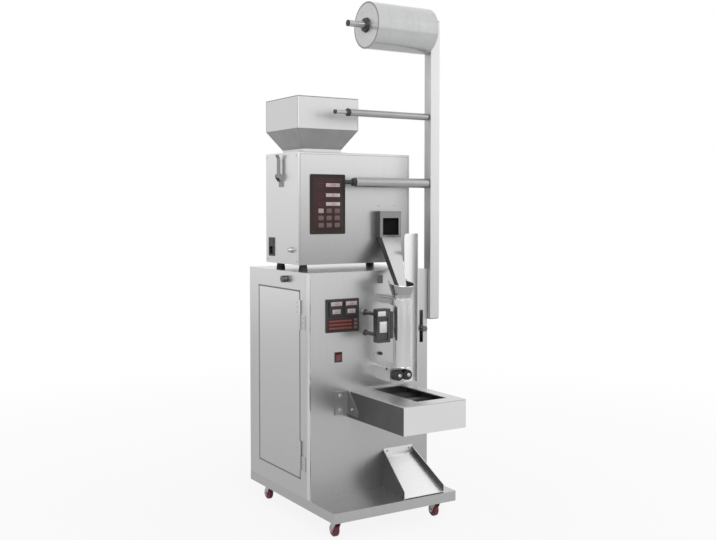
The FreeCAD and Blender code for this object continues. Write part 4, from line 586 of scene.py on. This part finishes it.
# %% Key colours
finishes["field_red"] = moulded("printed_red_field", (0.034, 0.012, 0.012), 0.42, 1800.0,
                                0.00003, shine=0.25)
finishes["key_cap"] = moulded("grey_key", (0.125, 0.088, 0.08), 0.45, 1500.0, 0.00004,
                              shine=0.3)
finishes["pink_key"] = moulded("pink_key", (0.36, 0.25, 0.25), 0.45, 1500.0, 0.00004)
finishes["label_print"] = moulded("label_print", (0.075, 0.018, 0.022), 0.45, shine=0.25)
finishes["window"] = moulded("display_window", (0.42, 0.35, 0.36), 0.12, 2000.0, 0.00001, 0.8)
finishes["digit"] = moulded("display_digit", (0.30, 0.05, 0.06), 0.3)
print("finishes:", len(finishes))


# %% Weigher keypad
SEGMENTS = {"a": (0, 1, 1), "b": (0.5, 0.5, 0), "c": (0.5, -0.5, 0), "d": (0, -1, 1),
            "e": (-0.5, -0.5, 0), "f": (-0.5, 0.5, 0), "g": (0, 0, 1)}
DIGITS = {"0": "abcdef", "1": "bc", "2": "abged", "5": "afgcd", "8": "abcdefg"}
FIGURE_PITCH = 0.85
BAR_LENGTH = 0.8
BAR_WIDTH = 0.24
FIELD_DEPTH = 0.0005


def number(text, height, middle, facing):
    """Seven-segment figures: each lit bar is a thin tile, level or upright, placed by halves
    of the figure's height."""
    half = height / 2
    bars = []
    for index, figure in enumerate(text):
        shift = (index - (len(text) - 1) / 2) * height * FIGURE_PITCH
        for letter in DIGITS[figure]:
            across, upward, level = SEGMENTS[letter]
            size = (BAR_LENGTH, BAR_WIDTH) if level else (BAR_WIDTH, BAR_LENGTH)
            bar = tile(half * size[0], half * size[1], 0.0003, half * 0.1, 0.00005)
            bars.append(seat(bar + (shift + across * half, upward * half, 0), middle, facing))
    return bars


def weigher_keypad():
    low, high = box_of("weigher_keypad")
    width, height = (high - low)[[0, 2]]

    def at(across, down, proud=FIELD_DEPTH):
        return (low[0] + across * width, low[1] - proud, high[2] - down * height)

    pads("weigher_keypad_field", "field_red", (width * 0.84, height * 0.88, FIELD_DEPTH, 0.004),
         [at(0.5, 0.5, 0)])
    rows = ((0.18, "250"), (0.348, "0"), (0.495, "12"))
    pads("weigher_display_windows", "window", (width * 0.4, 0.0115, 0.0007, 0.0015),
         [at(0.642, down) for down, _ in rows])
    figures = [bar for down, text in rows
               for bar in number(text, 0.0075, at(0.642, down, FIELD_DEPTH + 0.0007), "front")]
    piece("weigher_display_figures", figures, "digit")
    labels = [seat(tile(width * share, 0.005, 0.0004, 0.001), at(0.3, down + step), "front")
              for down, _ in rows for share, step in ((0.2, -0.02), (0.15, 0.025))]
    piece("weigher_labels", labels, "label_print")
    key = (0.019, 0.0145, 0.0012, 0.003, 0.0008)
    places = [at(across, down) for down in (0.61, 0.73, 0.85) for across in (0.30, 0.53, 0.76)]
    pads("weigher_first_key", "pink_key", key, places[:1])
    pads("weigher_keys", "key_cap", key, places[1:])
    return len(rows), len(places)


print("windows and keys:", weigher_keypad())

# %% [markdown]
# Each panel instrument has a wide upper window and a smaller one below. Under them the panel
# carries a red field with light strips and three keys on the right.


# %% Panel instruments
INSTRUMENT = 0.048
WINDOW_DEPTH = 0.0006
finishes["bright_red"] = moulded("red_strip", (0.19, 0.05, 0.038), 0.4, shine=0.3)


def panel_instruments():
    low, high = box_of("temperature_controllers")
    windows, figures = [], []
    for middle in (low[0] + INSTRUMENT / 2, high[0] - INSTRUMENT / 2):
        for down, size, text in ((0.0085, (0.040, 0.0125), "180"),
                                 (0.0325, (0.029, 0.0135), "50")):
            spot = touch("temperature_controllers", (middle, 0, high[2] - down), "front")
            windows.append(seat(tile(*size, WINDOW_DEPTH, 0.001), spot, "front"))
            figures += number(text, 0.008, spot - (0, WINDOW_DEPTH, 0), "front")
    piece("instrument_windows", windows, "window")
    piece("instrument_figures", figures, "digit")


def panel_field():
    low, high = box_of("control_panel")
    width = high[0] - low[0]
    field = touch("control_panel", ((low[0] + high[0]) / 2, 0, low[2] + 0.024), "front")
    pads("panel_field", "field_red", (width * 0.92, 0.040, FIELD_DEPTH, 0.002), [field])
    pads("panel_strips", "bright_red", (width * 0.68, 0.006, 0.0004, 0.001),
         [field + (-0.01, -FIELD_DEPTH, rise) for rise in (0.011, 0.0, -0.011)])
    pads("panel_keys", "key_cap", (0.012, 0.008, 0.001, 0.002, 0.0006),
         [field + (0.045, -FIELD_DEPTH, rise) for rise in (0.013, 0.001, -0.011)])


panel_instruments()
panel_field()

# %% [markdown]
# Screws tell the eye how big a machine is. The small ones are button heads with a hexagon
# socket, the large ones hexagon heads on a washer. Each is seated where a line drawn in from
# outside meets the sheet that it holds, so none hovers and none sinks.


# %% Screws and bolts
def button_head(radius):
    height = radius * 0.62
    return turned([(0, 0), (0, radius), (0.45 * height, radius),
                   (0.85 * height, 0.8 * radius), (height, 0.55 * radius),
                   (height, 0.42 * radius, 1), (0.4 * height, 0.4 * radius, 1),
                   (0.4 * height, 0)], 24)


def hexagon_head(radius):
    height = radius * 0.9
    return turned([(0, 0), (0, 1.35 * radius), (0.2 * height, 1.35 * radius),
                   (0.2 * height, radius, 1), (0.9 * height, radius, 1),
                   (height, 0.86 * radius), (height, 0)], 24)


def screws(name, node, places, facing, radius, head=button_head, finish="zinc",
           body="machine"):
    skins = [seat(head(radius), touch(node, place, facing), facing) for place in places]
    return piece(name, skins, finish, body)


def corners_of(node, axes, margin):
    """The four places one margin inside a node's box, on the two axes named."""
    low, high = box_of(node)
    middle = (low + high) / 2
    places = []
    for first in (low[axes[0]] + margin, high[axes[0]] - margin):
        for second in (low[axes[1]] + margin, high[axes[1]] - margin):
            place = middle.copy()
            place[axes[0]], place[axes[1]] = first, second
            places.append(place)
    return places


hood_low, hood_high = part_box("discharge_hood")
hood_top = hood_high.z + 0.019
screws("hood_screws", "weigher_housing",
       [(hood_low.x + 0.013, 0, hood_top), (hood_high.x - 0.007, 0, hood_top)], "front", 0.0032)
screws("housing_side_screws", "weigher_housing", corners_of("weigher_housing", (1, 2), 0.011),
       "left", 0.0026)
cover_corners = corners_of("rear_cover", (0, 2), 0.012)
cover_level = (cover_corners[0][2] + cover_corners[1][2]) / 2
cover_sides = [(x, 0, cover_level) for x, *_ in cover_corners[::2]]
screws("rear_cover_screws", "rear_cover", cover_corners + cover_sides, "back", 0.0042)
screws("housing_rear_screws", "weigher_housing", corners_of("weigher_housing", (0, 2), 0.016),
       "back", 0.0032)
bracket_low, bracket_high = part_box("corner_bracket")
bolt_x = bracket_low.x + 0.019
screws("bracket_bolts", "corner_bracket",
       [(bolt_x, 0, bracket_high.z - 0.014), (bolt_x, 0, bracket_low.z + 0.014)], "front",
       0.006, hexagon_head)
screws("bracket_leg_bolt", "corner_bracket",
       [(0, (bracket_low.y + bracket_high.y) / 2, bracket_low.z + 0.018)], "left", 0.004,
       hexagon_head)
slide_low, slide_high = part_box("outlet_slide")
slide_middle = (slide_low.x + slide_high.x) / 2
screws("slide_screws", "outlet_slide",
       [(slide_middle + side * 0.042, 0, slide_high.z - 0.009) for side in (-1, 1)], "front",
       0.0035)
mast_low, mast_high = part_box("mast")
mast_middle = (mast_low + mast_high) / 2
screws("mast_bolts", "mast",
       [(0, mast_middle.y, mast_low.z + rise) for rise in (0.024, 0.094, 0.14)], "right", 0.0055,
       hexagon_head)
guide_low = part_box("film_guide_plate")[0]
screws("guide_screws", "film_guide_plate",
       [(guide_low.x + 0.008, 0, guide_low.z + rise) for rise in (0.23, 0.33)], "front", 0.003)

# %% [markdown]
# The hopper is folded from sheet and welded along its corners. The beads are thin ripples down
# the four upright edges and the four edges of the slope, and a rolled rim stiffens the top.


# %% Hopper welds and rim
HOPPER_RIM = 0.099
HOPPER_FOOT = 0.012
THROAT_SIDE = 0.138
BEAD = 0.0008
RIM_ROD = 0.0016
finishes["weld"] = turned_metal("weld_bead", 0.30, 0.42)


def hopper_seams():
    """Each bead is a straight row of rings whose size alternates; the rim is a closed square
    of rods along the upper edge."""
    low, high = box_of("hopper")
    middle, half = (low + high) / 2, (high - low) / 2
    inside = half[0] - 0.0006
    bend, foot = high[2] - HOPPER_RIM, low[2] + HOPPER_FOOT
    corners = np.array([(-1, -1), (1, -1), (1, 1), (-1, 1)])
    beads = []
    for corner in corners:
        upper, lower = middle[:2] + corner * inside, middle[:2] + corner * THROAT_SIDE / 2
        for start, end, rings in (((*upper, high[2] - 0.002), (*upper, bend), 50),
                                  ((*upper, bend), (*lower, foot), 40)):
            beads.append(rod(np.linspace(start, end, rings), BEAD, swell=0.25))
    piece("hopper_welds", beads, "weld")
    edge = half[0] - 0.001
    loop = [(*(middle[:2] + corner * edge), high[2] - 0.0006) for corner in corners]
    rim = [rod(np.linspace(loop[i - 1], loop[i], 6), RIM_ROD) for i in range(4)]
    piece("hopper_rim_bead", rim, "weld")
    return len(beads), len(rim)


print("welds and rim rods:", hopper_seams())

# %% [markdown]
# The housing's front and back plates are let in between its folded edges. The joint shows as a
# fine grey line near each upright corner and under the top, filled with a thin seal. The
# cabinet's rear cover has a flat seal that shows all round its edge, and the door has one too,
# further down, so one function makes both.


# %% Plate seams and the rear cover's seal
finishes["seam"] = moulded("seam_strip", (0.30, 0.30, 0.31), 0.6)
finishes["seal_strip"] = moulded("grey_edge_seal", (0.20, 0.20, 0.205), 0.6)


def plate_seams(facing):
    """Three thin tiles on one side: one near each corner and one below the top edge."""
    low, high = box_of("weigher_housing")
    margin, width, depth = 0.007, 0.0012, 0.0004
    middle_x, middle_z = (low[0] + high[0]) / 2, (low[2] + high[2]) / 2
    tall, wide = high[2] - low[2] - 2 * margin, high[0] - low[0] - 2 * margin
    upright = tile(width, tall, depth, width * 0.4, 0.0002)
    level = tile(wide, width, depth, width * 0.4, 0.0002)
    face = touch("weigher_housing", (middle_x, 0, high[2] - margin), facing)[1]
    seams = [seat(upright, (x, face, middle_z), facing)
             for x in (low[0] + margin, high[0] - margin)]
    seams += [seat(level, (middle_x, face, high[2] - margin), facing)]
    piece(f"housing_{facing}_seams", seams, "seam")
    return len(seams)


def seal_strips(low, high, surface, facing, outer, inner, depth, corner):
    """Four flat strips round a rectangle, each reaching outwards and inwards over its edge. The
    surface is where the sheet lies along the direction that it faces."""
    across, out = (0, 1) if facing == "back" else (1, 0)
    middle, size = (low + high) / 2, high - low
    middle[out] = surface
    width, shift = outer + inner, (outer - inner) / 2
    strips = []
    for sign in (-1, 1):
        for axis, shape in ((across, (width, size[2] + 2 * outer)),
                            (2, (size[across] + 2 * outer, width))):
            edge = middle.copy()
            edge[axis] += sign * (size[axis] / 2 + shift)
            strips.append(seat(tile(*shape, depth, corner, 0.0002), edge, facing))
    return strips


counts = [plate_seams(facing) for facing in ("front", "back")]
cover_low, cover_high = box_of("rear_cover")
piece("rear_cover_seal", seal_strips(cover_low, cover_high, cover_low[1], "back", 0.004, 0,
                                     0.001, 0.001), "seal_strip")
print("seams:", *counts)

# %% [markdown]
# The film shoulder is the finest piece of the machine: its edge is where a slanted plane cuts
# a cone. A maker rolls that edge so that the film slides over it. The cone's radius grows with
# height and the plane's height grows towards the back, so solving the two together gives the
# radius in each direction round the tube, with no points read from the model.


# %% Rolled edge of the film shoulder
CONE_FOOT = (0.0305, 0.0098)
CONE_TOP = (0.045, 0.054)
PLANE_FRONT = (-0.049, 0.034)
PLANE_BACK = (0.031, 0.050)
OPEN_BACK = 45
EDGE_POINTS = 96


def shoulder_edge():
    """Radius = (foot radius + k (a - foot height)) / (1 - k b sine), where k is the cone's
    slope, b the plane's slope, a its height over the tube's middle, and sine that of the
    direction round the tube. The height is then a + b x radius x sine."""
    k = (CONE_TOP[0] - CONE_FOOT[0]) / (CONE_TOP[1] - CONE_FOOT[1])
    b = (PLANE_BACK[1] - PLANE_FRONT[1]) / (PLANE_BACK[0] - PLANE_FRONT[0])
    a = PLANE_FRONT[1] - b * PLANE_FRONT[0]
    turn = np.radians(np.linspace(-180 - OPEN_BACK, OPEN_BACK, EDGE_POINTS))
    radius = (CONE_FOOT[0] + k * (a - CONE_FOOT[1])) / (1 - k * b * np.sin(turn))
    height = a + b * radius * np.sin(turn)
    inner = radius - 0.001
    return np.stack([inner * np.cos(turn), inner * np.sin(turn), height], axis=-1)


tube_low, tube_high = box_of("forming_tube")
tube_middle = (tube_low + tube_high) / 2
collar_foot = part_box("forming_collar")[0].z
edge_path = shoulder_edge() + (*tube_middle[:2], collar_foot)
piece("shoulder_edge", [rod(edge_path, 0.0014)], "polished")
loop = np.radians(np.linspace(0, 360, 49))
foot_radius = (tube_high[0] - tube_low[0]) / 2 - 0.0005
rim = foot_radius * np.stack([np.cos(loop), np.sin(loop), 0 * loop], axis=-1)
piece("tube_foot_bead", [rod(rim + (*tube_middle[:2], tube_low[2] + 0.001), 0.0012)], "polished")
print("shoulder edge length:", round(float(np.linalg.norm(np.diff(edge_path, axis=0), axis=1)
                                           .sum()), 4))

# %% [markdown]
# The pull wheels are rubber on a steel hub. Three soft rings stand a little proud of each
# wheel to grip the film, and a bright cap with a socket holds the wheel on its shaft. They
# turn with their wheel, so each rides on that wheel's body.


# %% Pull wheels
def pull_wheel(side):
    name = f"pull_wheel_{side}"
    low, high = box_of(name)
    middle = (low + high) / 2
    radius = (high[0] - low[0]) / 2
    face = touch(name, (middle[0], 0, middle[2]), "front")
    cap = turned([(0, 0), (0, 0.0062), (0.0012, 0.0062), (0.0024, 0.0052),
                  (0.003, 0.004), (0.003, 0.0026, 1), (0.0012, 0.0026, 1),
                  (0.0012, 0)], 24)
    piece(f"{name}_cap", [seat(cap, face, "front")], "steel", name)
    swell = np.linspace(0, math.pi, 7)
    rings = []
    for depth in (0.008, 0.014, 0.020):
        profile = [(depth - 0.003, radius - 0.002)]
        profile += [(depth - 0.002 * math.cos(t), radius - 0.0002 + 0.0006 * math.sin(t))
                    for t in swell]
        profile += [(depth + 0.003, radius - 0.002)]
        rings.append(seat(turned([(profile[0][0], 0, 0), *profile, (profile[-1][0], 0, 0)], 40),
                          face, "back"))
    piece(f"{name}_grip", rings, "black_rubber", name)
    return rings[0].shape


for side in ("left", "right"):
    print(f"pull wheel {side}, grip ring:", pull_wheel(side))

# %% [markdown]
# Each caster wheel turns on an axle bolt with a nut on both sides of its fork. The wheel's
# side has a raised hub and a groove under the tread, which is what reads as a wheel at this
# size.


# %% Caster hubs and nuts
def caster(corner):
    wheel, fork = f"caster_wheel_{corner}", f"caster_fork_{corner}"
    low, high = box_of(wheel)
    middle = (low + high) / 2
    nut = turned([(0, 0), (0, 0.0045, 1), (0.0022, 0.0045, 1), (0.0026, 0.0038),
                  (0.0026, 0.0022), (0.0034, 0.0018), (0.0034, 0)], 24)
    ring = turned([(0, 0.0128), (0.0004, 0.0132), (0.0007, 0.014),
                   (0.0004, 0.0148), (0, 0.0152), (-0.001, 0.014),
                   (0, 0.0128)], 40)
    nuts, grooves = [], []
    for facing, x in (("left", low[0]), ("right", high[0])):
        nuts.append(seat(nut, touch(fork, middle, facing), facing))
        grooves.append(seat(ring, (x, *middle[1:]), facing))
    piece(f"caster_nuts_{corner}", nuts, "zinc", f"caster_swivel_{corner}")
    piece(f"caster_tread_edge_{corner}", grooves, "red_wheel", wheel)
    return len(nuts) + len(grooves)


print("caster nuts and edges:", sum(caster(corner) for corner in (
    "front_left", "front_right", "rear_left", "rear_right")))

# %% [markdown]
# Small things that an operator touches: the screws that lock the black collars on the roller
# shafts, the black caps on the shafts' tips and a knurled knob on the face under the seal unit.
# A near-black sheet hung in the hood's window is painted shade: it stands in for the shadow
# inside the hood.

# %% Collar screws, shaft caps, knob and the hood's painted shade sheet
KNURLS = 32


def knurled(radius, height):
    """A round knob whose edge ring swings in and out in small steps, as knurling does."""
    skin = turned([(0, 0), (0, radius), (height * 0.85, radius),
                   (height, radius * 0.82), (height, 0)], KNURLS)
    ridge = 1 - 0.07 * (np.arange(KNURLS) % 2)
    skin[1:4, :, :2] *= ridge[None, :, None]
    return skin


COLLAR_TO_TIP = 0.0055
CAP_REACH = {"upper_roller": 0.006, "lower_roller": 0.1}
CAP_RADIUS = 0.0068
KNOB = (0.0285, 0, 0.526)
collar_screws, shaft_caps = [], []
for roller in CAP_REACH:
    low, high = box_of(roller)
    place = np.array((low[0] - COLLAR_TO_TIP, *((low + high) / 2)[1:]))
    collar_screws.append(seat(button_head(0.0026), touch("shaft_collars", place, "up", 0.03),
                              "up"))
    tip = touch("roller_shafts", place, "left")
    collar = touch("shaft_collars", place + (0, 0, 0.009), "left")
    reach = min(collar[0] - tip[0], CAP_REACH[roller])
    cap = turned([(-reach, 0), (-reach, CAP_RADIUS), (-0.001, CAP_RADIUS),
                  (0.0006, 0.006), (0.0006, 0)], 24)
    shaft_caps.append(seat(cap, tip, "left"))
    print(roller, "tip to collar:", round(float(reach), 4))
piece("collar_screws", collar_screws, "gunmetal")
piece("shaft_caps", shaft_caps, "black_plastic")
knob_foot = touch("cabinet_shell", KNOB, "front")
piece("face_knob", [seat(knurled(0.0055, 0.010), knob_foot, "front")], "black_plastic")
# painted shade: a near-black sheet in the hood's window for the shade inside the hood
finishes["shade_black"] = moulded("painted_shade_black", (0.002, 0.002, 0.002), 0.85, 700.0,
                                  0.0001, shine=0.1)
FLAP_DROP = 0.069
FLAP_SETBACK = 0.012
FLAP_BOW = 0.0025
FLAP_SWING = 0.002
FLAP_THICKNESS = 0.0012


def hood_shade_sheet():
    """A sheet hung from the lintel: across and down are the two parameters, it bows outwards
    by half a sine across, and its lower end swings forward with the square of the drop."""
    low, high = box_of("discharge_hood")
    left, right = low[0] + 0.004, high[0] - 0.004
    across = np.linspace(0, 1, 17)[None, :]
    down = np.linspace(0, 1, 13)[:, None]
    x = left + across * (right - left) + 0 * down
    y = (low[1] + FLAP_SETBACK - FLAP_BOW * np.sin(math.pi * across) * down
         - FLAP_SWING * down ** 2)
    z = high[2] - 0.006 - down * FLAP_DROP + 0 * across
    near = np.stack([x, y, z], axis=-1)
    ring = np.concatenate([near, near[:, ::-1] + (0, FLAP_THICKNESS, 0)], axis=1)
    ends = [ring[i:i + 1].mean(axis=1, keepdims=True).repeat(ring.shape[1], axis=1)
            for i in (0, -1)]
    return np.concatenate([ends[0], ring, ends[1]])


piece("hood_shade_sheet", [hood_shade_sheet()], "shade_black")
print("collar screws:", len(collar_screws))

# %% [markdown]
# The seal bar is wrapped in brown heat tape where it meets the film, and its guide rods end in
# nuts. The mast is square tube, closed by a black plug at each end, and a black disc closes the
# reel's spindle.


# %% Heat tape, plugs and post nuts
finishes["tape"] = moulded("heat_tape", (0.06, 0.042, 0.035), 0.5, 900.0, 0.0001)
POST_INSET = 0.0235
POST_RISE = 0.032
bar_low, bar_high = box_of("seal_bar")
bar_width, bar_height = (bar_high - bar_low)[1:]
pads("seal_bar_tape", "tape", (bar_width - 0.001, bar_height * 0.96, 0.0003, 0.001, 0.0001),
     [touch("seal_bar", (bar_low + bar_high) / 2, "right")], "right", "seal_bar")
plug = tile(mast_high.x - mast_low.x - 0.001, mast_high.y - mast_low.y - 0.001, 0.0025, 0.003,
            0.0012)
plugs = [seat(plug, (mast_middle.x, mast_middle.y, level), facing)
         for level, facing in ((mast_high.z, "up"), (mast_low.z, "down"))]
piece("mast_plugs", plugs, "black_plastic")
head_low, head_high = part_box("seal_block")
post_x, post_z = head_low.x + POST_INSET, (head_low.z + head_high.z) / 2
post_nut = turned([(0, 0), (0, 0.0105, 1), (0.005, 0.0105, 1), (0.006, 0.009),
                   (0.006, 0)], 24)
face_y = touch("cabinet_shell", (post_x, 0, post_z), "front")[1]
piece("post_nuts", [seat(post_nut, (post_x, face_y, post_z + side * POST_RISE), "front")
                    for side in (-1, 1)], "gunmetal")
end_cap = turned([(0, 0), (0, 0.0085), (0.0004, 0.0085), (0.0007, 0.008),
                  (0.0007, 0)], 24)
core_low, core_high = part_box("film_core")
spindle_end = (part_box("film_spindle")[0].x, *((core_low + core_high) / 2)[1:])
piece("spindle_end_disc", [seat(end_cap, spindle_end, "left")], "black_plastic")
print("tape width:", round(float(bar_width), 4))

# %% [markdown]
# The seal unit's head is black, with two bare plates let into its front: a small one at the
# top and a larger one below it. They are what shows that the head is more than a block. The
# pull unit beside it is held by one black screw low on its left side.


# %% Plates on the seal head
finishes["clip"] = moulded("grey_clip", (0.10, 0.10, 0.105), 0.5)
CLIP = (0.028, 0, 0.764)
plates = [seat(tile(*size), touch("seal_block", (head_low.x + inset, 0, level), "front"),
               "front")
          for size, inset, level in (
              ((0.028, 0.015, 0.0012, 0.0015), 0.0155, head_high.z - 0.0145),
              ((0.031, 0.034, 0.0012, 0.002), 0.0225, head_low.z + 0.0475))]
piece("seal_head_plates", plates, "aluminium")
pull_low, pull_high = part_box("pull_housing")
screws("pull_housing_screw", "pull_housing", [(0, pull_low.y + 0.019, pull_high.z - 0.008)],
       "left", 0.0038, finish="black_plastic")
pads("face_clip", "clip", (0.014, 0.026, 0.008, 0.002, 0.001),
     [touch("cabinet_shell", CLIP, "front")])
print("plates:", len(plates))

# %% [markdown]
# The cabinet's front left corner is a rolled bead that shines along its whole height, and a
# flat grey seal follows the door's edge. The seal is what makes the door's outline read as a
# soft line and not as a cut, and it swings with the door.


# %% Corner bead and door seal
BEAD_INSET = 0.004
BEAD_RADIUS = 0.0064
HINGE_REACH = 0.0085
shell_low, shell_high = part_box("cabinet_shell")
side_x = touch("cabinet_shell", (0, 0, shell_high.z - 0.02), "left")[0]
bead_foot, bead_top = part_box("base_tray")[1].z + 0.0005, shell_high.z - 0.0005
bead_place = (side_x + BEAD_INSET, shell_low.y + BEAD_INSET)
bead = np.linspace((*bead_place, bead_foot), (*bead_place, bead_top), 4)
piece("cabinet_corner_bead", [rod(bead, BEAD_RADIUS, 24)], "polished")
door_low, door_high = box_of("side_door")
door_low[1] += HINGE_REACH
piece("door_seal", seal_strips(door_low, door_high, side_x, "left", 0.0013, 0.0032, 0.0006,
                               0.0005), "seal_strip", "side_door")
print("bead height:", round(bead_top - bead_foot, 4))

# %% [markdown]
# Hinge leaves, the hopper latch and the inlet on the left side get what holds and fills them:
# three small screws in each leaf, two rivets, and the three flat pins of the socket.


# %% Fixings on the left side
LEAF_WIDTH = 0.030
LEAF_SCREWS = (0.008, 0.023, 0.038)
RIVET_MARGIN = 0.006
hinge_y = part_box("side_door")[0].y + 0.004
for name, node, body, side, levels in (
        ("hinge_fixed_screws", "cabinet_shell", "machine", -1, (0.175, 0.614)),
        ("hinge_door_screws", "side_door", "side_door", 1, (0.221, 0.660))):
    screws(name, node, [(0, hinge_y + side * LEAF_WIDTH * 0.62, level + rise)
                        for level in levels for rise in LEAF_SCREWS], "left", 0.0024, body=body)
latch_low, latch_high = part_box("latch_base")
screws("latch_rivets", "latch_base",
       [(0, y, latch_low.z + RIVET_MARGIN)
        for y in (latch_low.y + RIVET_MARGIN, latch_high.y - RIVET_MARGIN)], "left", 0.0022)
inlet_low, inlet_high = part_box("power_inlet")
inlet_y = (inlet_low.y + inlet_high.y) / 2
pin_feet = [touch("power_inlet", (0, inlet_y + across, inlet_low.z + rise), "left")
            for across, rise in ((0.0, 0.0225), (-0.0065, 0.0145), (0.0065, 0.0145))]
pads("inlet_pins", "steel", (0.002, 0.005, 0.009, 0.0006, 0.0004), pin_feet, "left")
print("pins:", len(pin_feet))

# %% [markdown]
# Behind the door the drive's motor has the finned jacket, the fan cowl and the terminal box
# that such motors have. The fins run along the motor, so they are a ripple in the radius that
# repeats round the axis.

# %% Motor jacket, cowl and terminal box
FINS = 30
FIN_DEPTH = 0.0035


def finned_jacket(radius, length):
    """Radius = root + depth x a square wave of the angle, with the two end rings drawn in."""
    skin = turned([(0, 0), (0, radius), (0.001, radius), (length - 0.001, radius),
                   (length, radius), (length, 0)], FINS * 4)
    wave = ((np.arange(FINS * 4) % 4) < 2) * FIN_DEPTH / radius
    skin[2:4, :, :2] *= (1 + wave)[None, :, None]
    return skin


MOTOR_RADIUS = 0.040
COWL_RADIUS = MOTOR_RADIUS + 0.003
JACKET_LENGTH = 0.082
JACKET_SETBACK = 0.118
cam_low, cam_high = box_of("camshaft")
axis_x, axis_z = cam_low[0] - 0.001, (cam_low[2] + cam_high[2]) / 2
motor_end = np.array((axis_x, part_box("drive_motor")[1].y, axis_z))
jacket = finned_jacket(MOTOR_RADIUS + 0.0006, JACKET_LENGTH)
piece("motor_jacket", [seat(jacket, motor_end - (0, JACKET_SETBACK, 0), "back")],
      "motor_paint", smooth=False)
cowl = turned([(-0.034, 0), (-0.034, COWL_RADIUS), (0.001, COWL_RADIUS),
               (0.005, MOTOR_RADIUS - 0.002), (0.005, 0.012), (0.003, 0.010),
               (0.003, 0)], 40)
piece("motor_cowl", [seat(cowl, motor_end, "back")], "black_plastic")
pads("motor_terminal_box", "motor_paint", (0.044, 0.052, 0.022, 0.005, 0.002),
     [motor_end + (0, -0.085, MOTOR_RADIUS + 0.001)], "up")
print("motor axis:", round(float(axis_x), 4), round(float(axis_z), 4))

# %% [markdown]
# Light is plain and soft: a pale floor and backdrop, one large lamp from the front left and a
# weaker one from the right. The world shows white to the camera and to reflections, so that the
# steel mirrors the same background that stands behind it. Close to the machine the floor keeps
# a soft shadow, and further out it fades to white, so that no horizon shows.


# %% Floor, world and lamps
FLOOR_HALF = 6.0
SHADOW_NEAR, SHADOW_FAR = 0.5, 3.0
SHADOW_SHARE = 0.12
MIRRORED_SHARE = 0.4
WORLD_LIGHT = 0.5
LAMP_SIZE = 2.4
LAMP_AIM = Vector((0.0, 0.0, 0.8))


def pale_floor():
    """A flat square. The share of white is 1 - shadow share * nearness, where nearness falls
    from 1 at the near distance from the machine's middle to 0 at the far one."""
    mesh = bpy.data.meshes.new("floor")
    corners = [(x * FLOOR_HALF, y * FLOOR_HALF, 0.0)
               for x, y in ((-1, -1), (1, -1), (1, 1), (-1, 1))]
    mesh.from_pydata(corners, [], [(0, 1, 2, 3)])
    floor = put("floor", mesh)
    finish = Finish("floor")
    finish.feed(Base_Color=grey(0.66), Roughness=0.9)
    seen = finish.add("LightPath", output="Is Camera Ray")
    mirrored = finish.add("LightPath", output="Is Glossy Ray")
    white = finish.add("Emission", {"Color": grey(1.0), "Strength": 1.0})
    along_x, along_y = finish.place("X"), finish.place("Y")
    nearness = finish.add("MapRange", {
        "Value": (along_x * along_x + along_y * along_y).root(), "From Min": SHADOW_NEAR,
        "From Max": SHADOW_FAR, "To Min": 1.0, "To Max": 0.0})
    share = seen * (1 - SHADOW_SHARE * nearness) + mirrored * MIRRORED_SHARE
    plain = Wire(finish, finish.shader.outputs[0])
    blend = finish.add("MixShader", {0: share, 1: plain, 2: white})
    finish.plug(finish.tree.nodes["Material Output"].inputs[0], blend)
    mesh.materials.append(finish.material)


def white_world():
    world = bpy.data.worlds.new("studio")
    world.use_nodes = True
    tree = world.node_tree
    background = tree.nodes["Background"]
    background.inputs[0].default_value = (1.0, 1.0, 1.0, 1.0)
    path = tree.nodes.new("ShaderNodeLightPath")
    seen = tree.nodes.new("ShaderNodeMath")
    seen.operation = "MAXIMUM"
    tree.links.new(path.outputs["Is Camera Ray"], seen.inputs[0])
    tree.links.new(path.outputs["Is Glossy Ray"], seen.inputs[1])
    level = tree.nodes.new("ShaderNodeMapRange")
    level.inputs["To Min"].default_value = WORLD_LIGHT
    tree.links.new(seen.outputs[0], level.inputs[0])
    tree.links.new(level.outputs[0], background.inputs[1])
    bpy.context.scene.world = world


def lamp(name, place, watts):
    data = bpy.data.lights.new(name, "AREA")
    data.energy = watts
    data.size = LAMP_SIZE
    light = put(name, data)
    light.location = place
    light.rotation_euler = (LAMP_AIM - light.location).to_track_quat("-Z", "Y").to_euler()


pale_floor()
white_world()
lamp("key", (-1.2, -3.2, 2.8), 70.0)
lamp("fill", (3.2, -1.6, 1.8), 25.0)
bpy.context.scene.view_settings.view_transform = "Standard"
